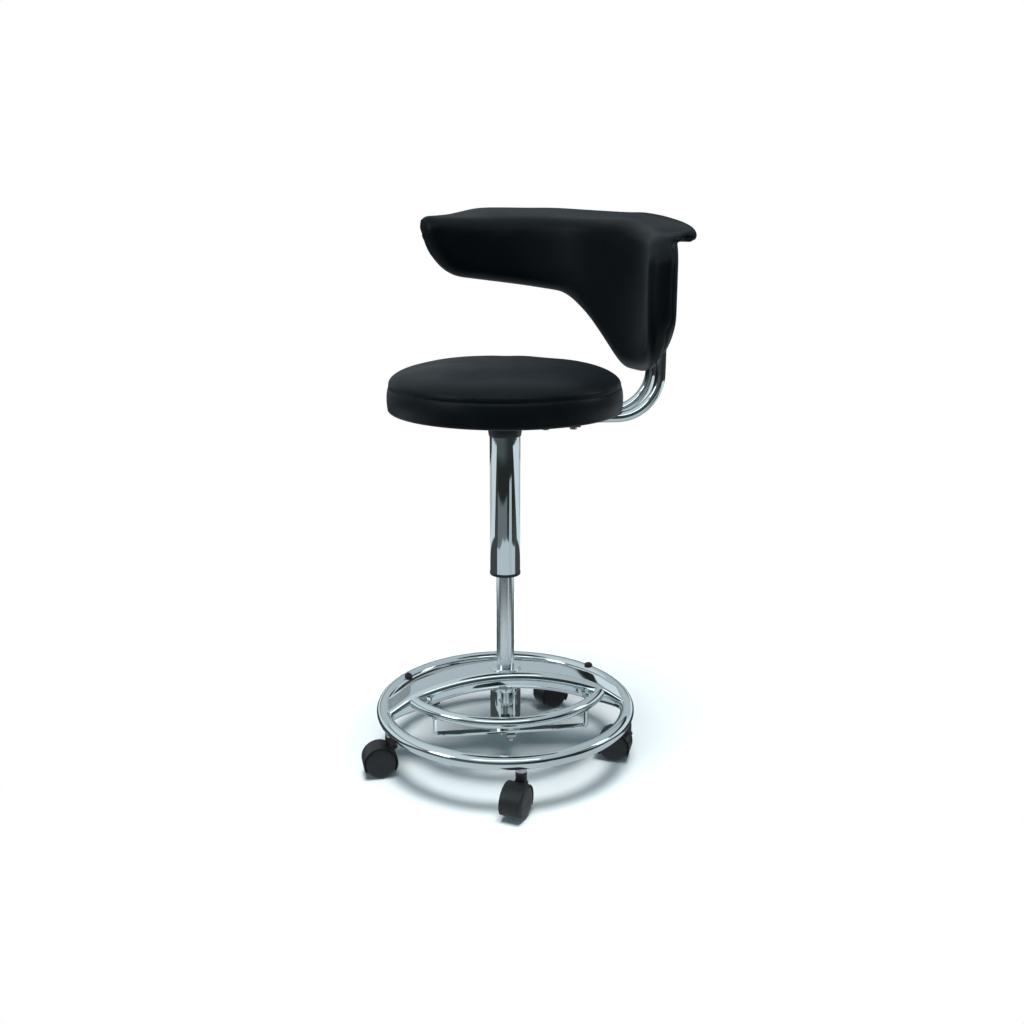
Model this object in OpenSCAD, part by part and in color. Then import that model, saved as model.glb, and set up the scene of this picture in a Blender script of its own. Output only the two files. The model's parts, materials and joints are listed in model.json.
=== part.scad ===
// Dental assistant's stool: a round seat and a one-sided wrap-around backrest on a gas-lift
// column, which stands on an arched beam inside a chromed foot ring with five twin-wheel casters.
// A foot bow in front of the column works the gas lift's valve through a small rocking lever.
//
// +Z is up and millimetres are used throughout. The origin is on the floor, under the column.
// The front of the base is at -Y, the arched beam lies along X, and the backrest's tubes leave
// the seat along +X.

/* [Foot ring] */
// Radius of the foot ring's centre line
ring_r = 197; // [194:1:200]
// Radius of the foot ring's tube
ring_tube_r = 11; // [10.5:0.25:12]
// Height of the foot ring's centre line
ring_z = 78; // [77:0.5:80]

/* [Arched beam] */
// Width of the beam, front to back
beam_w = 62; // [58:1:66]
// Depth of the beam, top to bottom
beam_t = 29; // [26:1:31]
// Height of the beam's top at the column
beam_top = 145; // [143:1:147]
// Radius of the beam's rounded long edges
beam_edge_r = 9; // [6:1:12]
// Outer radius of the hub tube that holds the gas spring
hub_r = 24.5; // [24:0.5:25]

/* [Gas lift] */
// Radius of the gas spring's cylinder
cylinder_r = 14; // [14:0.5:14]
// Radius of the piston rod
rod_r = 5; // [4.5:0.5:5]
// Radius of the cover tube
cover_r = 23.5; // [23:0.5:24]
// Height of the cover tube's lower end, with the seat raised
cover_z = 306; // [304:1:312]
// Radial clearance of every running fit
running_gap = 0.05; // [0.03:0.01:0.08]

/* [Foot bow] */
// Radius of the bow's tube
bow_tube_r = 8.75; // [8:0.25:9]
// Radius of the bow's centre line
bow_r = 168; // [166:1:170]
// Height of the bow
bow_z = 105; // [104:0.5:106]

/* [Seat] */
// Radius of the seat
seat_r = 175.5; // [172:0.5:178]
// Height of the seat's underside
seat_z = 562.5; // [562.5:0.5:563]
// Height of the middle of the seat's crowned top
seat_top = 633; // [628:1:640]

/* [Backrest] */
// Radius of the backrest's two tubes
frame_tube_r = 8; // [7:0.5:8]
// Distance between the two tubes
frame_tube_gap = 59; // [57:1:61]
// Distance of the tubes' upright part from the column
frame_x = 231; // [230.5:0.5:231.5]
// Inner radius of the backrest pad
pad_in_r = 208; // [204:1:212]
// Radius of the outer edge of the roll along the pad's top
pad_roll_r = 286; // [280:1:290]
// Azimuth of the backrest's rear end, in degrees
pad_start = -19; // [-20:1:-17]
// Azimuth of the tip of the backrest's arm, in degrees
pad_end = 116; // [110:1:117]

/* [Casters] */
// Radius of a caster's wheels
wheel_r = 25; // [24:0.5:25]
// Width of one wheel
wheel_w = 13.5; // [12:0.5:14]
// Distance from a caster's stem to its wheels' axle
trail = 18; // [16:1:19]

/* [Hidden] */
$fn = 64;
eps = 0.5;

caster_names = ["front", "right", "rear_right", "rear_left", "left"];
caster_parts = ["hood", "pins", "wheel_a", "wheel_b"];
// Where each caster sits on the ring, and which way its wheels trail
caster_azimuth = [for (i = [0:4]) -90 + 72 * i];
caster_yaw = [-121, 158, 203, 100, 187];

chrome = [0.78, 0.82, 0.84];
steel = [0.55, 0.57, 0.6];
black = [0.06, 0.06, 0.07];
vinyl = [0.05, 0.06, 0.07];
timber = [0.72, 0.58, 0.4];
foam_yellow = [0.86, 0.82, 0.62];

// Foot ring
ring_wall = 1.5;
ring_top = ring_z + ring_tube_r;
socket_r = 8;
socket_z = ring_z - ring_tube_r - 3;
socket_h = 20;
plug_r = 7;
plug_stem_r = 4;
plug_azimuth = 54;
// How far each plug leans inwards on the tube, right and left
plug_lean = [0, -40];

// The beam's top is an arc through the column's top point and the two ends on the ring
beam_half = ring_r - 2;
beam_rise = beam_top - (ring_top + 2);
beam_top_r = (beam_half * beam_half + beam_rise * beam_rise) / (2 * beam_rise);
beam_mid_r = beam_top_r - beam_t / 2;
beam_centre_z = beam_top - beam_top_r;
beam_wall = 2.5;
beam_sweep = 33;
hub_top = beam_top + 2;
hub_bottom = 50;
hub_wall = 3;
hub_slot_w = 20;
hub_slot_top = 108;

// Gas spring, with its valve at the bottom and its rod upwards
cylinder_bottom = 80;
cylinder_top = 374;
cylinder_wall = 1.5;
cylinder_floor = 6;
gland_h = 16;
piston_z = 338;
piston_h = 14;
valve_r = 4;
valve_z = 60;
valve_h = 38;
rod_top = 534;
cap_z = 515;
cap_h = 12;
cover_wall = 1.5;
cover_top = 556;
bush_h = 60;
cover_ring_h = 4;
collar_z = 523;
collar_r = 25.6;

// Foot bow and its linkage
bow_centre_y = 45;
bow_pivot_y = -38;
bow_pin_r = 3;
bow_end_y = -beam_w / 2 - 1.5;
bow_pin_x = sqrt(pow(bow_r, 2) - pow(bow_centre_y - bow_pivot_y, 2));
lug_t = 5;
lug_x = bow_pin_x - 20;
strap_half = 119;
strap_y = bow_centre_y - sqrt(pow(bow_r, 2) - pow(strap_half, 2));
strap_w = 14;
strap_t = 4;
strap_z = 66;
lever_pivot_y = -38;
lever_pivot_z = 55;
lever_w = 14;
lever_pin_r = 3;
bolt_r = 3;

// Seat
seat_plate_w = 160;
seat_plate_t = 3;
plate_z = seat_z - 1.5;
base_z = plate_z + seat_plate_t;
base_h = 12;
base_r = 166;
cover_t = 1.5;
shoulder_w = 30;
shoulder_h = 24;
shoulder_z = 604;
plate_bolt_pos = 65;

// Backrest tubes and pad
tube_wall = 1.5;
bend_r = 64;
frame_z = plate_z - frame_tube_r;
frame_start_x = 40;
frame_top_z = 740;
clamp_x = [56, 98];
clamp_half = 48;
clamp_bolt_y = 42;
board_r = 219;
board_t = 4;
rear_in_r = 249;
rear_t = 4;
pad_step = 3;
bracket_x = frame_x + frame_tube_r;
bracket_t = 2.5;
bracket_half = 32;
bracket_z = [688, 735];
screw_z = [698, 725];

// Casters
axle_r = 3;
stem_r = 5.5;
wheel_gap = 0.7;
web_t = 7;
hood_r = 26.9;
hood_in_r = 25.5;
hood_w = 33;
// How far the hood comes down below the axle
hood_drop = 15;
neck_r = 8.5;

// ---------------------------------------------------------------- helpers

function smooth(t) = let (u = min(1, max(0, t))) u * u * (3 - 2 * u);
function corner(t) = 1 - sqrt(1 - pow(min(1, max(0, t)), 2));
function on_axis(r, z, a) = [r * cos(a), r * sin(a), z];

// A ring-shaped solid between two radii
module tube(r_out, r_in, h) {
    difference() {
        cylinder(r = r_out, h = h);
        translate([0, 0, -eps]) cylinder(r = r_in, h = h + 2 * eps);
    }
}

// A bolt pointing up, with its head below z = 0
module bolt_up(r, length, head_r, head_h) {
    cylinder(r = r, h = length);
    translate([0, 0, -head_h]) cylinder(r = head_r, h = head_h);
}

// A closed solid swept round the column: each section is a list of [radius, height] points
module swept(azimuths, sections) {
    m = len(sections[0]);
    n = len(azimuths);
    points = [for (i = [0:n - 1]) for (p = sections[i]) on_axis(p[0], p[1], azimuths[i])];
    sides = [for (i = [0:n - 2]) for (j = [0:m - 1]) for (half = [0, 1])
        let (a = i * m + j, b = i * m + (j + 1) % m)
        half == 0 ? [a, b, b + m] : [a, b + m, a + m]];
    caps = [[for (j = [m - 1:-1:0]) j], [for (j = [0:m - 1]) (n - 1) * m + j]];
    polyhedron(points = points, faces = concat(sides, caps), convexity = 8);
}

// ---------------------------------------------------------------- base

module ring_solid(r) {
    translate([0, 0, ring_z]) rotate_extrude($fn = 128) translate([ring_r, 0]) circle(r = r);
}

// Moves a plug's own frame, with the ring tube's centre at its origin, to its place
module at_plug(i) {
    rotate([0, 0, 90 + (2 * i - 1) * plug_azimuth]) translate([ring_r, 0, ring_z])
        rotate([0, plug_lean[i], 0]) children();
}

module base_ring() {
    color(chrome) difference() {
        translate([0, 0, ring_z]) rotate_extrude($fn = 128) translate([ring_r, 0]) difference() {
            circle(r = ring_tube_r);
            circle(r = ring_tube_r - ring_wall);
        }
        for (a = caster_azimuth) rotate([0, 0, a]) translate([ring_r, 0, socket_z])
            cylinder(r = socket_r, h = ring_z - socket_z);
        for (i = [0, 1]) at_plug(i) cylinder(r = plug_stem_r, h = ring_tube_r + 2);
    }
}

module caster_sockets() {
    color(steel) for (a = caster_azimuth) rotate([0, 0, a]) translate([ring_r, 0, socket_z])
        tube(socket_r, stem_r + running_gap, socket_h);
}

module ring_plugs() {
    color(black) for (i = [0, 1]) difference() {
        at_plug(i) {
            translate([0, 0, ring_tube_r - 3]) cylinder(r = plug_r, h = 5);
            translate([0, 0, ring_tube_r + 2]) cylinder(r1 = plug_r, r2 = plug_r - 3, h = 3);
            translate([0, 0, ring_tube_r - 8]) cylinder(r = plug_stem_r, h = 8);
        }
        // The head's underside is hollowed to sit on the round tube
        difference() {
            ring_solid(ring_tube_r);
            at_plug(i) cylinder(r = plug_stem_r, h = ring_tube_r + 2);
        }
    }
}

// Outline of the beam's section, with round corners, centred on the origin
function rounded_outline(w, h, r) = [for (q = [0:3]) for (k = [0:5])
    let (sx = (q == 0 || q == 3) ? 1 : -1, sy = q < 2 ? 1 : -1, a = 90 * q + 18 * k)
    [sx * (w / 2 - r) + r * cos(a), sy * (h / 2 - r) + r * sin(a)]];

module beam_sweep_solid(inset) {
    translate([0, 0, beam_centre_z]) rotate([90, 0, 0]) rotate([0, 0, 90 - beam_sweep])
        rotate_extrude(angle = 2 * beam_sweep, $fn = 128) translate([beam_mid_r, 0])
            polygon(rounded_outline(beam_t - 2 * inset, beam_w - 2 * inset, beam_edge_r - inset));
}

module arched_beam() {
    color(chrome) difference() {
        intersection() {
            difference() {
                beam_sweep_solid(0);
                beam_sweep_solid(beam_wall);
            }
            cylinder(r = ring_r, h = 2 * beam_top, $fn = 128);
        }
        ring_solid(ring_tube_r);
        // Nothing hangs below the ring at the beam's ends
        tube(ring_r + 5, ring_r - 8, ring_z - ring_tube_r + 3);
        translate([0, 0, hub_bottom]) cylinder(r = hub_r, h = beam_top);
    }
}

module hub_tube() {
    color(chrome) difference() {
        translate([0, 0, hub_bottom]) tube(hub_r, hub_r - hub_wall, hub_top - hub_bottom);
        translate([-hub_slot_w / 2, -hub_r - 1, hub_bottom - 1])
            cube([hub_slot_w, hub_r, hub_slot_top - hub_bottom]);
    }
}

module taper_sleeve() {
    color(steel) translate([0, 0, hub_slot_top + 2])
        tube(hub_r - hub_wall, cylinder_r, hub_top - hub_slot_top - 2);
}

module bow_lugs() {
    color(chrome) for (s = [-1, 1]) difference() {
        translate([s * lug_x - lug_t / 2, bow_pivot_y - 7, bow_z - 7])
            cube([lug_t, -beam_w / 2 - bow_pivot_y + 7, 14]);
        translate([s * lug_x - lug_t, bow_pivot_y, bow_z]) rotate([0, 90, 0])
            cylinder(r = bow_pin_r, h = 2 * lug_t);
    }
}

module bow_pivot_pins() {
    color(steel) for (s = [-1, 1]) translate([s * (lug_x - lug_t / 2), bow_pivot_y, bow_z])
        rotate([0, s * 90, 0]) bolt_up(bow_pin_r, 31, 5, 3);
}

module lever_bracket() {
    color(chrome) for (s = [-1, 1]) difference() {
        translate([s * 11.5 - 1.5, lever_pivot_y - 8, hub_bottom - 3]) cube([3, 26, 17]);
        translate([0, 0, hub_bottom - 5]) cylinder(r = hub_r, h = 40);
        translate([s * 11.5 - 5, lever_pivot_y, lever_pivot_z]) rotate([0, 90, 0])
            cylinder(r = lever_pin_r, h = 10);
    }
}

module lever_pin() {
    color(steel) translate([-16, lever_pivot_y, lever_pivot_z]) rotate([0, 90, 0])
        cylinder(r = lever_pin_r, h = 32);
}

// ---------------------------------------------------------------- gas spring

module gas_cylinder() {
    color(chrome) difference() {
        translate([0, 0, cylinder_bottom])
            cylinder(r = cylinder_r, h = cylinder_top - cylinder_bottom);
        translate([0, 0, cylinder_bottom + cylinder_floor])
            cylinder(r = cylinder_r - cylinder_wall,
                     h = cylinder_top - cylinder_bottom - cylinder_floor - 2);
        translate([0, 0, cylinder_bottom - 1])
            cylinder(r = valve_r + running_gap, h = cylinder_floor + 2);
        translate([0, 0, cylinder_top - 3]) cylinder(r = rod_r + 1, h = 4);
    }
}

module cylinder_gland() {
    color(black) translate([0, 0, cylinder_top - 2 - gland_h])
        tube(cylinder_r - cylinder_wall, rod_r + running_gap, gland_h);
}

module valve_pin() {
    color(steel) union() {
        translate([0, 0, valve_z]) cylinder(r = valve_r, h = valve_h);
        translate([0, 0, valve_z + valve_h]) cylinder(r = valve_r + 3, h = 5);
    }
}

module piston() {
    color(steel) translate([0, 0, piston_z])
        tube(cylinder_r - cylinder_wall - running_gap, rod_r, piston_h);
}

module piston_rod() {
    color(chrome) translate([0, 0, piston_z - 3]) cylinder(r = rod_r, h = rod_top - piston_z + 3);
}

module thrust_bearing() {
    color(steel) translate([0, 0, cap_z - 6.2]) {
        tube(12, rod_r, 2);
        translate([0, 0, 4]) tube(12, rod_r, 2);
        for (a = [0:45:315]) rotate([0, 0, a]) translate([8.5, 0, 2]) cylinder(r = 2, h = 2);
    }
}

module rod_clip() {
    color(steel) translate([0, 0, cap_z + cap_h + 0.3]) tube(9, rod_r, 2);
}

// ---------------------------------------------------------------- foot bow

module foot_bow() {
    color(chrome) difference() {
        translate([0, bow_centre_y, bow_z]) rotate([0, 0, -160])
            rotate_extrude(angle = 140, $fn = 128) translate([bow_r, 0]) difference() {
                circle(r = bow_tube_r);
                circle(r = bow_tube_r - 1.5);
            }
        translate([-bow_r - 20, bow_end_y, bow_z - 15]) cube([2 * bow_r + 40, bow_r, 30]);
        translate([-bow_r, bow_pivot_y, bow_z]) rotate([0, 90, 0])
            cylinder(r = bow_pin_r + running_gap, h = 2 * bow_r);
    }
}

module bow_strap() {
    color(chrome) difference() {
        translate([-strap_half - strap_t / 2, strap_y - strap_w / 2, strap_z]) difference() {
            cube([2 * strap_half + strap_t, strap_w, bow_z - strap_z]);
            translate([strap_t, -1, strap_t])
                cube([2 * strap_half - strap_t, strap_w + 2, bow_z]);
        }
        translate([0, bow_centre_y, bow_z]) rotate([0, 0, -160])
            rotate_extrude(angle = 140, $fn = 128) translate([bow_r, 0]) circle(r = bow_tube_r);
        translate([0, strap_y, strap_z - 1]) cylinder(r = bolt_r, h = strap_t + 2);
    }
}

module strap_bolt() {
    color(steel) translate([0, strap_y, 0]) {
        translate([0, 0, strap_z - 15]) cylinder(r = bolt_r, h = 15 + strap_t);
        translate([0, 0, strap_z + strap_t]) cylinder(r1 = 6, r2 = 4, h = 4);
        difference() {
            translate([0, 0, strap_z - 14]) cylinder(r = 6.2, h = 5, $fn = 6);
            translate([0, 0, strap_z - 15]) cylinder(r = bolt_r, h = 7);
        }
    }
}

module release_lever() {
    color(steel) difference() {
        translate([-lever_w / 2, 0, 0]) rotate([90, 0, 90]) linear_extrude(lever_w) union() {
            polygon([[4, 53.5], [4, 58.8], [-28, 60], [-46, 62], [-58, 64], [-82, 64],
                     [-82, 59.5], [-60, 59.5], [-44, 49.5], [-32, 49.5]]);
            translate([lever_pivot_y, lever_pivot_z]) circle(r = 7.5);
        }
        translate([-lever_w, lever_pivot_y, lever_pivot_z]) rotate([0, 90, 0])
            cylinder(r = lever_pin_r + running_gap, h = 2 * lever_w);
        // Slot in which the strap's bolt slides
        translate([-3.7, strap_y - 3.9, lever_pivot_z]) cube([7.4, 13, 12]);
    }
}

// ---------------------------------------------------------------- column cover

module cover_tube() {
    color(chrome) translate([0, 0, cover_z])
        tube(cover_r, cover_r - cover_wall, cover_top - cover_z);
}

module guide_bush() {
    color(black) translate([0, 0, cover_z])
        tube(cover_r - cover_wall, cylinder_r + running_gap, bush_h);
}

module cover_ring() {
    color(black) translate([0, 0, cover_z - cover_ring_h])
        tube(cover_r + 0.6, cylinder_r + 0.6, cover_ring_h);
}

module cover_cap() {
    color(steel) translate([0, 0, cap_z]) tube(cover_r - cover_wall, rod_r + running_gap, cap_h);
}

module seat_collar() {
    color(black) translate([0, 0, collar_z]) tube(collar_r, cover_r, plate_z - collar_z);
}

// ---------------------------------------------------------------- seat

module seat_plate() {
    color(black) difference() {
        translate([-seat_plate_w / 2, -seat_plate_w / 2, plate_z])
            cube([seat_plate_w, seat_plate_w, seat_plate_t]);
        for (x = [-1, 1]) for (y = [-1, 1])
            translate([x * plate_bolt_pos, y * plate_bolt_pos, plate_z - 1])
                cylinder(r = bolt_r, h = seat_plate_t + 2);
        for (y = [-1, 1]) translate([clamp_x[0], y * clamp_bolt_y, plate_z - 1])
            cylinder(r = bolt_r, h = seat_plate_t + 2);
    }
}

module seat_plate_bolts() {
    color(steel) for (x = [-1, 1]) for (y = [-1, 1])
        translate([x * plate_bolt_pos, y * plate_bolt_pos, plate_z])
            bolt_up(bolt_r, seat_plate_t + 9, 5.5, 3.5);
}

module seat_base() {
    color(timber) difference() {
        translate([0, 0, base_z]) cylinder(r = base_r, h = base_h, $fn = 96);
        for (x = [-1, 1]) for (y = [-1, 1])
            translate([x * plate_bolt_pos, y * plate_bolt_pos, base_z - 1])
                cylinder(r = bolt_r, h = 10);
        for (x = clamp_x) for (y = [-1, 1]) translate([x, y * clamp_bolt_y, base_z - 1])
            cylinder(r = bolt_r, h = 10);
    }
}

// The seat's outline from its middle to the foot of its side, moved inwards by inset
function seat_outline(inset) = concat(
    [for (k = [0:4]) let (u = k / 4, edge = seat_r - shoulder_w)
        [u * edge, seat_top - inset - u * u * (seat_top - shoulder_z - shoulder_h)]],
    [for (k = [1:5]) let (a = 90 - 18 * k)
        [seat_r - shoulder_w + (shoulder_w - inset) * cos(a),
         shoulder_z + (shoulder_h - inset) * sin(a)]],
    [[seat_r - inset + 0.4, 588], [seat_r - 1 - inset, 574]]);

module seat_cushion() {
    color(foam_yellow) rotate_extrude($fn = 96) polygon(concat(seat_outline(cover_t),
        [[seat_r - 5 - cover_t, base_z], [base_r, base_z], [base_r, base_z + base_h],
         [0, base_z + base_h]]));
}

module seat_cover() {
    inner = seat_outline(cover_t);
    color(vinyl) rotate_extrude($fn = 96) polygon(concat(
        seat_outline(0),
        [[seat_r - 7, seat_z], [base_r - 8, seat_z], [base_r - 8, base_z],
         [seat_r - 5 - cover_t, base_z]],
        [for (k = [len(inner) - 1:-1:0]) inner[k]]));
}

// ---------------------------------------------------------------- backrest

module tube_length(h) {
    tube(frame_tube_r, frame_tube_r - tube_wall, h);
}

module backrest_tube(side) {
    color(chrome) translate([0, side * frame_tube_gap / 2, 0]) union() {
        translate([frame_start_x, 0, frame_z]) rotate([0, 90, 0])
            tube_length(frame_x - bend_r - frame_start_x);
        translate([frame_x - bend_r, 0, frame_z + bend_r]) rotate([90, 0, 0])
            rotate([0, 0, -90]) rotate_extrude(angle = 90) translate([bend_r, 0]) difference() {
                circle(r = frame_tube_r);
                circle(r = frame_tube_r - tube_wall);
            }
        translate([frame_x, 0, frame_z + bend_r]) tube_length(frame_top_z - frame_z - bend_r);
    }
}

module tube_clamps() {
    color(steel) for (x = clamp_x) difference() {
        translate([x - 10, -clamp_half, frame_z - frame_tube_r - 3]) cube([20, 2 * clamp_half, 3]);
        for (y = [-1, 1]) translate([x, y * clamp_bolt_y, frame_z - frame_tube_r - 4])
            cylinder(r = bolt_r, h = 5);
    }
}

module tube_clamp_bolts() {
    color(steel) for (x = clamp_x) for (y = [-1, 1])
        translate([x, y * clamp_bolt_y, frame_z - frame_tube_r - 3])
            bolt_up(bolt_r, base_z + 9 - (frame_z - frame_tube_r - 3), 5.5, 3.5);
}

// Heights of the pad's lower and upper edges at an azimuth. The lower edge hangs down as a lobe
// over the tubes, sweeps up under the arm and rounds off at both ends. The upper edge falls
// away towards the rear end.
function pad_low(a) = 612 + 108 * smooth((a - 23) / 38) + 26 * min(1, max(0, (a - 50) / 50))
    + 86 * corner((a - 98) / 21) + 75 * corner((4 - a) / 23);
function pad_top(a) = 854 + 8 * smooth((a - 31) / 40) - 0.85 * max(0, a - 94)
    - 0.45 * max(0, 31 - a) - 0.0105 * pow(max(0, 31 - a), 2);

azimuths = [for (a = [pad_start:pad_step:pad_end - 1]) a, pad_end];

// Section of the padded front, with the roll that folds outwards over the top
function pad_section(a) = let (low = pad_low(a), top = pad_top(a), h = top - low,
        roll = min(30, 0.45 * h)) [
    [pad_in_r + 5, low + 3], [pad_in_r + 12, low], [board_r, low], [board_r, top - roll],
    [rear_in_r + rear_t, top - roll], [pad_roll_r - 8, top - 0.8 * roll],
    [pad_roll_r, top - 0.5 * roll], [pad_roll_r - 1, top - 0.2 * roll], [pad_roll_r - 9, top],
    [pad_roll_r - 26, top - 2], [pad_in_r + 30, top - 0.35 * roll],
    [pad_in_r + 10, top - 0.7 * roll], [pad_in_r + 2, top - 1.2 * roll],
    [pad_in_r, low + 0.4 * h], [pad_in_r + 1, low + 12]];

// Section of a plain curved sheet, set in from the pad's edges
function sheet_section(a, r, t, inset) = let (low = pad_low(a), top = pad_top(a),
        roll = min(30, 0.45 * (top - low))) [
    [r, low + inset], [r + t, low + inset], [r + t, top - roll - 1], [r, top - roll - 1]];

module backrest_pad() {
    color(vinyl) swept(azimuths, [for (a = azimuths) pad_section(a)]);
}

module backrest_board() {
    color(timber) swept(azimuths, [for (a = azimuths) sheet_section(a, board_r, board_t, 10)]);
}

module backrest_rear_cover() {
    color(vinyl) swept(azimuths, [for (a = azimuths) sheet_section(a, rear_in_r, rear_t, 2)]);
}

module backrest_bracket() {
    color(steel) difference() {
        translate([bracket_x, -bracket_half, bracket_z[0]])
            cube([bracket_t, 2 * bracket_half, bracket_z[1] - bracket_z[0]]);
        for (z = screw_z) translate([bracket_x - 1, 0, z]) rotate([0, 90, 0])
            cylinder(r = bolt_r, h = bracket_t + 2);
    }
}

module backrest_screws() {
    color(steel) for (z = screw_z) translate([bracket_x + bracket_t, 0, z]) rotate([0, -90, 0])
        bolt_up(bolt_r, bracket_x + bracket_t - board_r - 0.5, 5, 2);
}

// ---------------------------------------------------------------- casters

// Moves a caster's own frame, with its stem on the Z axis and its wheels trailing along +X,
// to its place under the ring
module at_caster(i) {
    rotate([0, 0, caster_azimuth[i]]) translate([ring_r, 0, 0])
        rotate([0, 0, caster_yaw[i] - caster_azimuth[i]]) children();
}

module lying(r, w) {
    rotate([90, 0, 0]) translate([0, 0, -w / 2]) cylinder(r = r, h = w);
}

module caster_hood(i) {
    color(black) at_caster(i) difference() {
        union() {
            translate([trail, 0, wheel_r]) intersection() {
                lying(hood_r, hood_w);
                translate([-hood_r - 1, -hood_w, -hood_drop])
                    cube([2 * hood_r + 2, 2 * hood_w, hood_r + hood_drop]);
            }
            translate([trail, 0, wheel_r]) lying(19, web_t);
            translate([0, 0, 40]) cylinder(r = neck_r, h = socket_z - 0.5 - 40);
        }
        for (s = [-1, 1]) translate([trail, s * (web_t / 2 + 30), wheel_r]) lying(hood_in_r, 60);
        translate([0, 0, socket_z - 16]) cylinder(r = stem_r, h = 20);
        translate([trail, 0, wheel_r]) lying(axle_r, web_t + 2);
    }
}

module caster_pins(i) {
    color(steel) at_caster(i) {
        translate([0, 0, socket_z - 16]) cylinder(r = stem_r, h = 35);
        translate([trail, 0, wheel_r]) lying(axle_r, web_t + 2 * wheel_gap + 2 * wheel_w - 3);
    }
}

module caster_wheel(i, side) {
    color(black) at_caster(i)
        translate([trail, side * (web_t / 2 + wheel_gap), wheel_r]) rotate([-side * 90, 0, 0])
            rotate_extrude() polygon([
                [axle_r + running_gap, 0], [wheel_r - 2, 0], [wheel_r, 2],
                [wheel_r, wheel_w - 4.5], [wheel_r - 1, wheel_w - 2.2],
                [wheel_r - 3.5, wheel_w - 1], [wheel_r - 12, wheel_w], [0, wheel_w],
                [0, wheel_w - 1], [axle_r + running_gap, wheel_w - 1]]);
}

// ---------------------------------------------------------------- nodes

base_ring();
arched_beam();
hub_tube();
taper_sleeve();
caster_sockets();
ring_plugs();
bow_lugs();
bow_pivot_pins();
lever_bracket();
lever_pin();
gas_cylinder();
cylinder_gland();
foot_bow();
bow_strap();
strap_bolt();
release_lever();
valve_pin();
piston();
piston_rod();
thrust_bearing();
rod_clip();
cover_tube();
guide_bush();
cover_ring();
cover_cap();
seat_collar();
seat_plate();
seat_plate_bolts();
seat_base();
seat_cushion();
seat_cover();
backrest_tube(1);  // backrest_tube_left
backrest_tube(-1);  // backrest_tube_right
tube_clamps();
tube_clamp_bolts();
backrest_board();
backrest_pad();
backrest_rear_cover();
backrest_bracket();
backrest_screws();
for (i = [0:4]) {
    prefix = str("caster_", caster_names[i], "_");
    caster_hood(i);
    caster_pins(i);
    caster_wheel(i, 1);
    caster_wheel(i, -1);
}
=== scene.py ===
"""Looks of the dentist stool: chromed base and column, vinyl seat and backrest, black casters."""

import json
import math

import bmesh
import bpy
import numpy as np
from mathutils import Matrix, Vector, kdtree, noise


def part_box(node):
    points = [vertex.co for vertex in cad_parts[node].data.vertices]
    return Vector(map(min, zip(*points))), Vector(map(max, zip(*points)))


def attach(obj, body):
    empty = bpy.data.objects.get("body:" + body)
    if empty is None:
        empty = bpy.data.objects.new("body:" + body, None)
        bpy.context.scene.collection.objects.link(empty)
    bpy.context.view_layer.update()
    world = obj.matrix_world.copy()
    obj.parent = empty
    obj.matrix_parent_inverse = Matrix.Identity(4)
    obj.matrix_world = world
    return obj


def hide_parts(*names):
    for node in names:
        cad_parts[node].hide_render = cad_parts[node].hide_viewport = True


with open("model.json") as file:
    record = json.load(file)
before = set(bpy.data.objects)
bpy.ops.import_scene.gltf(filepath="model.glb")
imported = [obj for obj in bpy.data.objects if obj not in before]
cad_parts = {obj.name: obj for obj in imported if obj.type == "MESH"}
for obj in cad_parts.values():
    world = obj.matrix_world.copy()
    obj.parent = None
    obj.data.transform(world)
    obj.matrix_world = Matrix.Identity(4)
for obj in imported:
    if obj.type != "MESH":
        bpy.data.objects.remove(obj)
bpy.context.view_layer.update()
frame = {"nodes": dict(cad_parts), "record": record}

MM = 0.001

# ------------------------------------------------------------------ places, from the frame

def span(node):
    """A node's lowest and highest corners as arrays."""
    lo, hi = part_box(node)
    return np.array(lo), np.array(hi)


ring_lo, ring_hi = span("base_ring")
RING_TUBE_R = (ring_hi[2] - ring_lo[2]) / 2
RING_R = ring_hi[0] - RING_TUBE_R
RING_Z = (ring_hi[2] + ring_lo[2]) / 2

beam_lo, beam_hi = span("arched_beam")
BEAM_W = beam_hi[1] - beam_lo[1]
BEAM_TOP = beam_hi[2]
BEAM_T = 29 * MM

hub_lo, hub_hi = span("hub_tube")
HUB_R = hub_hi[0]

cylinder_lo, cylinder_hi = span("gas_cylinder")
CYLINDER_R = cylinder_hi[0]

cover_lo, cover_hi = span("cover_tube")
COVER_R = cover_hi[0]

seat_lo, seat_hi = span("seat_cover")
SEAT_R = seat_hi[0]
SEAT_LOW = seat_lo[2]
SEAT_TOP = seat_hi[2]

pad_lo, pad_hi = span("backrest_pad")
PAD_LOW = pad_lo[2]
PAD_TOP = pad_hi[2]

bow_lo, bow_hi = span("foot_bow")
BOW_TUBE_R = (bow_hi[2] - bow_lo[2]) / 2
BOW_Z = (bow_hi[2] + bow_lo[2]) / 2
BOW_R = 168 * MM
BOW_CENTRE_Y = bow_lo[1] + BOW_TUBE_R + BOW_R

# ------------------------------------------------------------------ mesh helpers

WELD_DIST = 1e-6
FLAT_SHADED_ABOVE = 35.0
ALL_SMOOTH = 180


def placed(name, data):
    """A new object in the scene."""
    made = bpy.data.objects.new(name, data)
    bpy.context.scene.collection.objects.link(made)
    return made


def raw_piece(name, verts, faces):
    mesh = bpy.data.meshes.new(name)
    mesh.from_pydata([tuple(v) for v in verts], [], faces)
    return placed(name, mesh)


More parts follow.
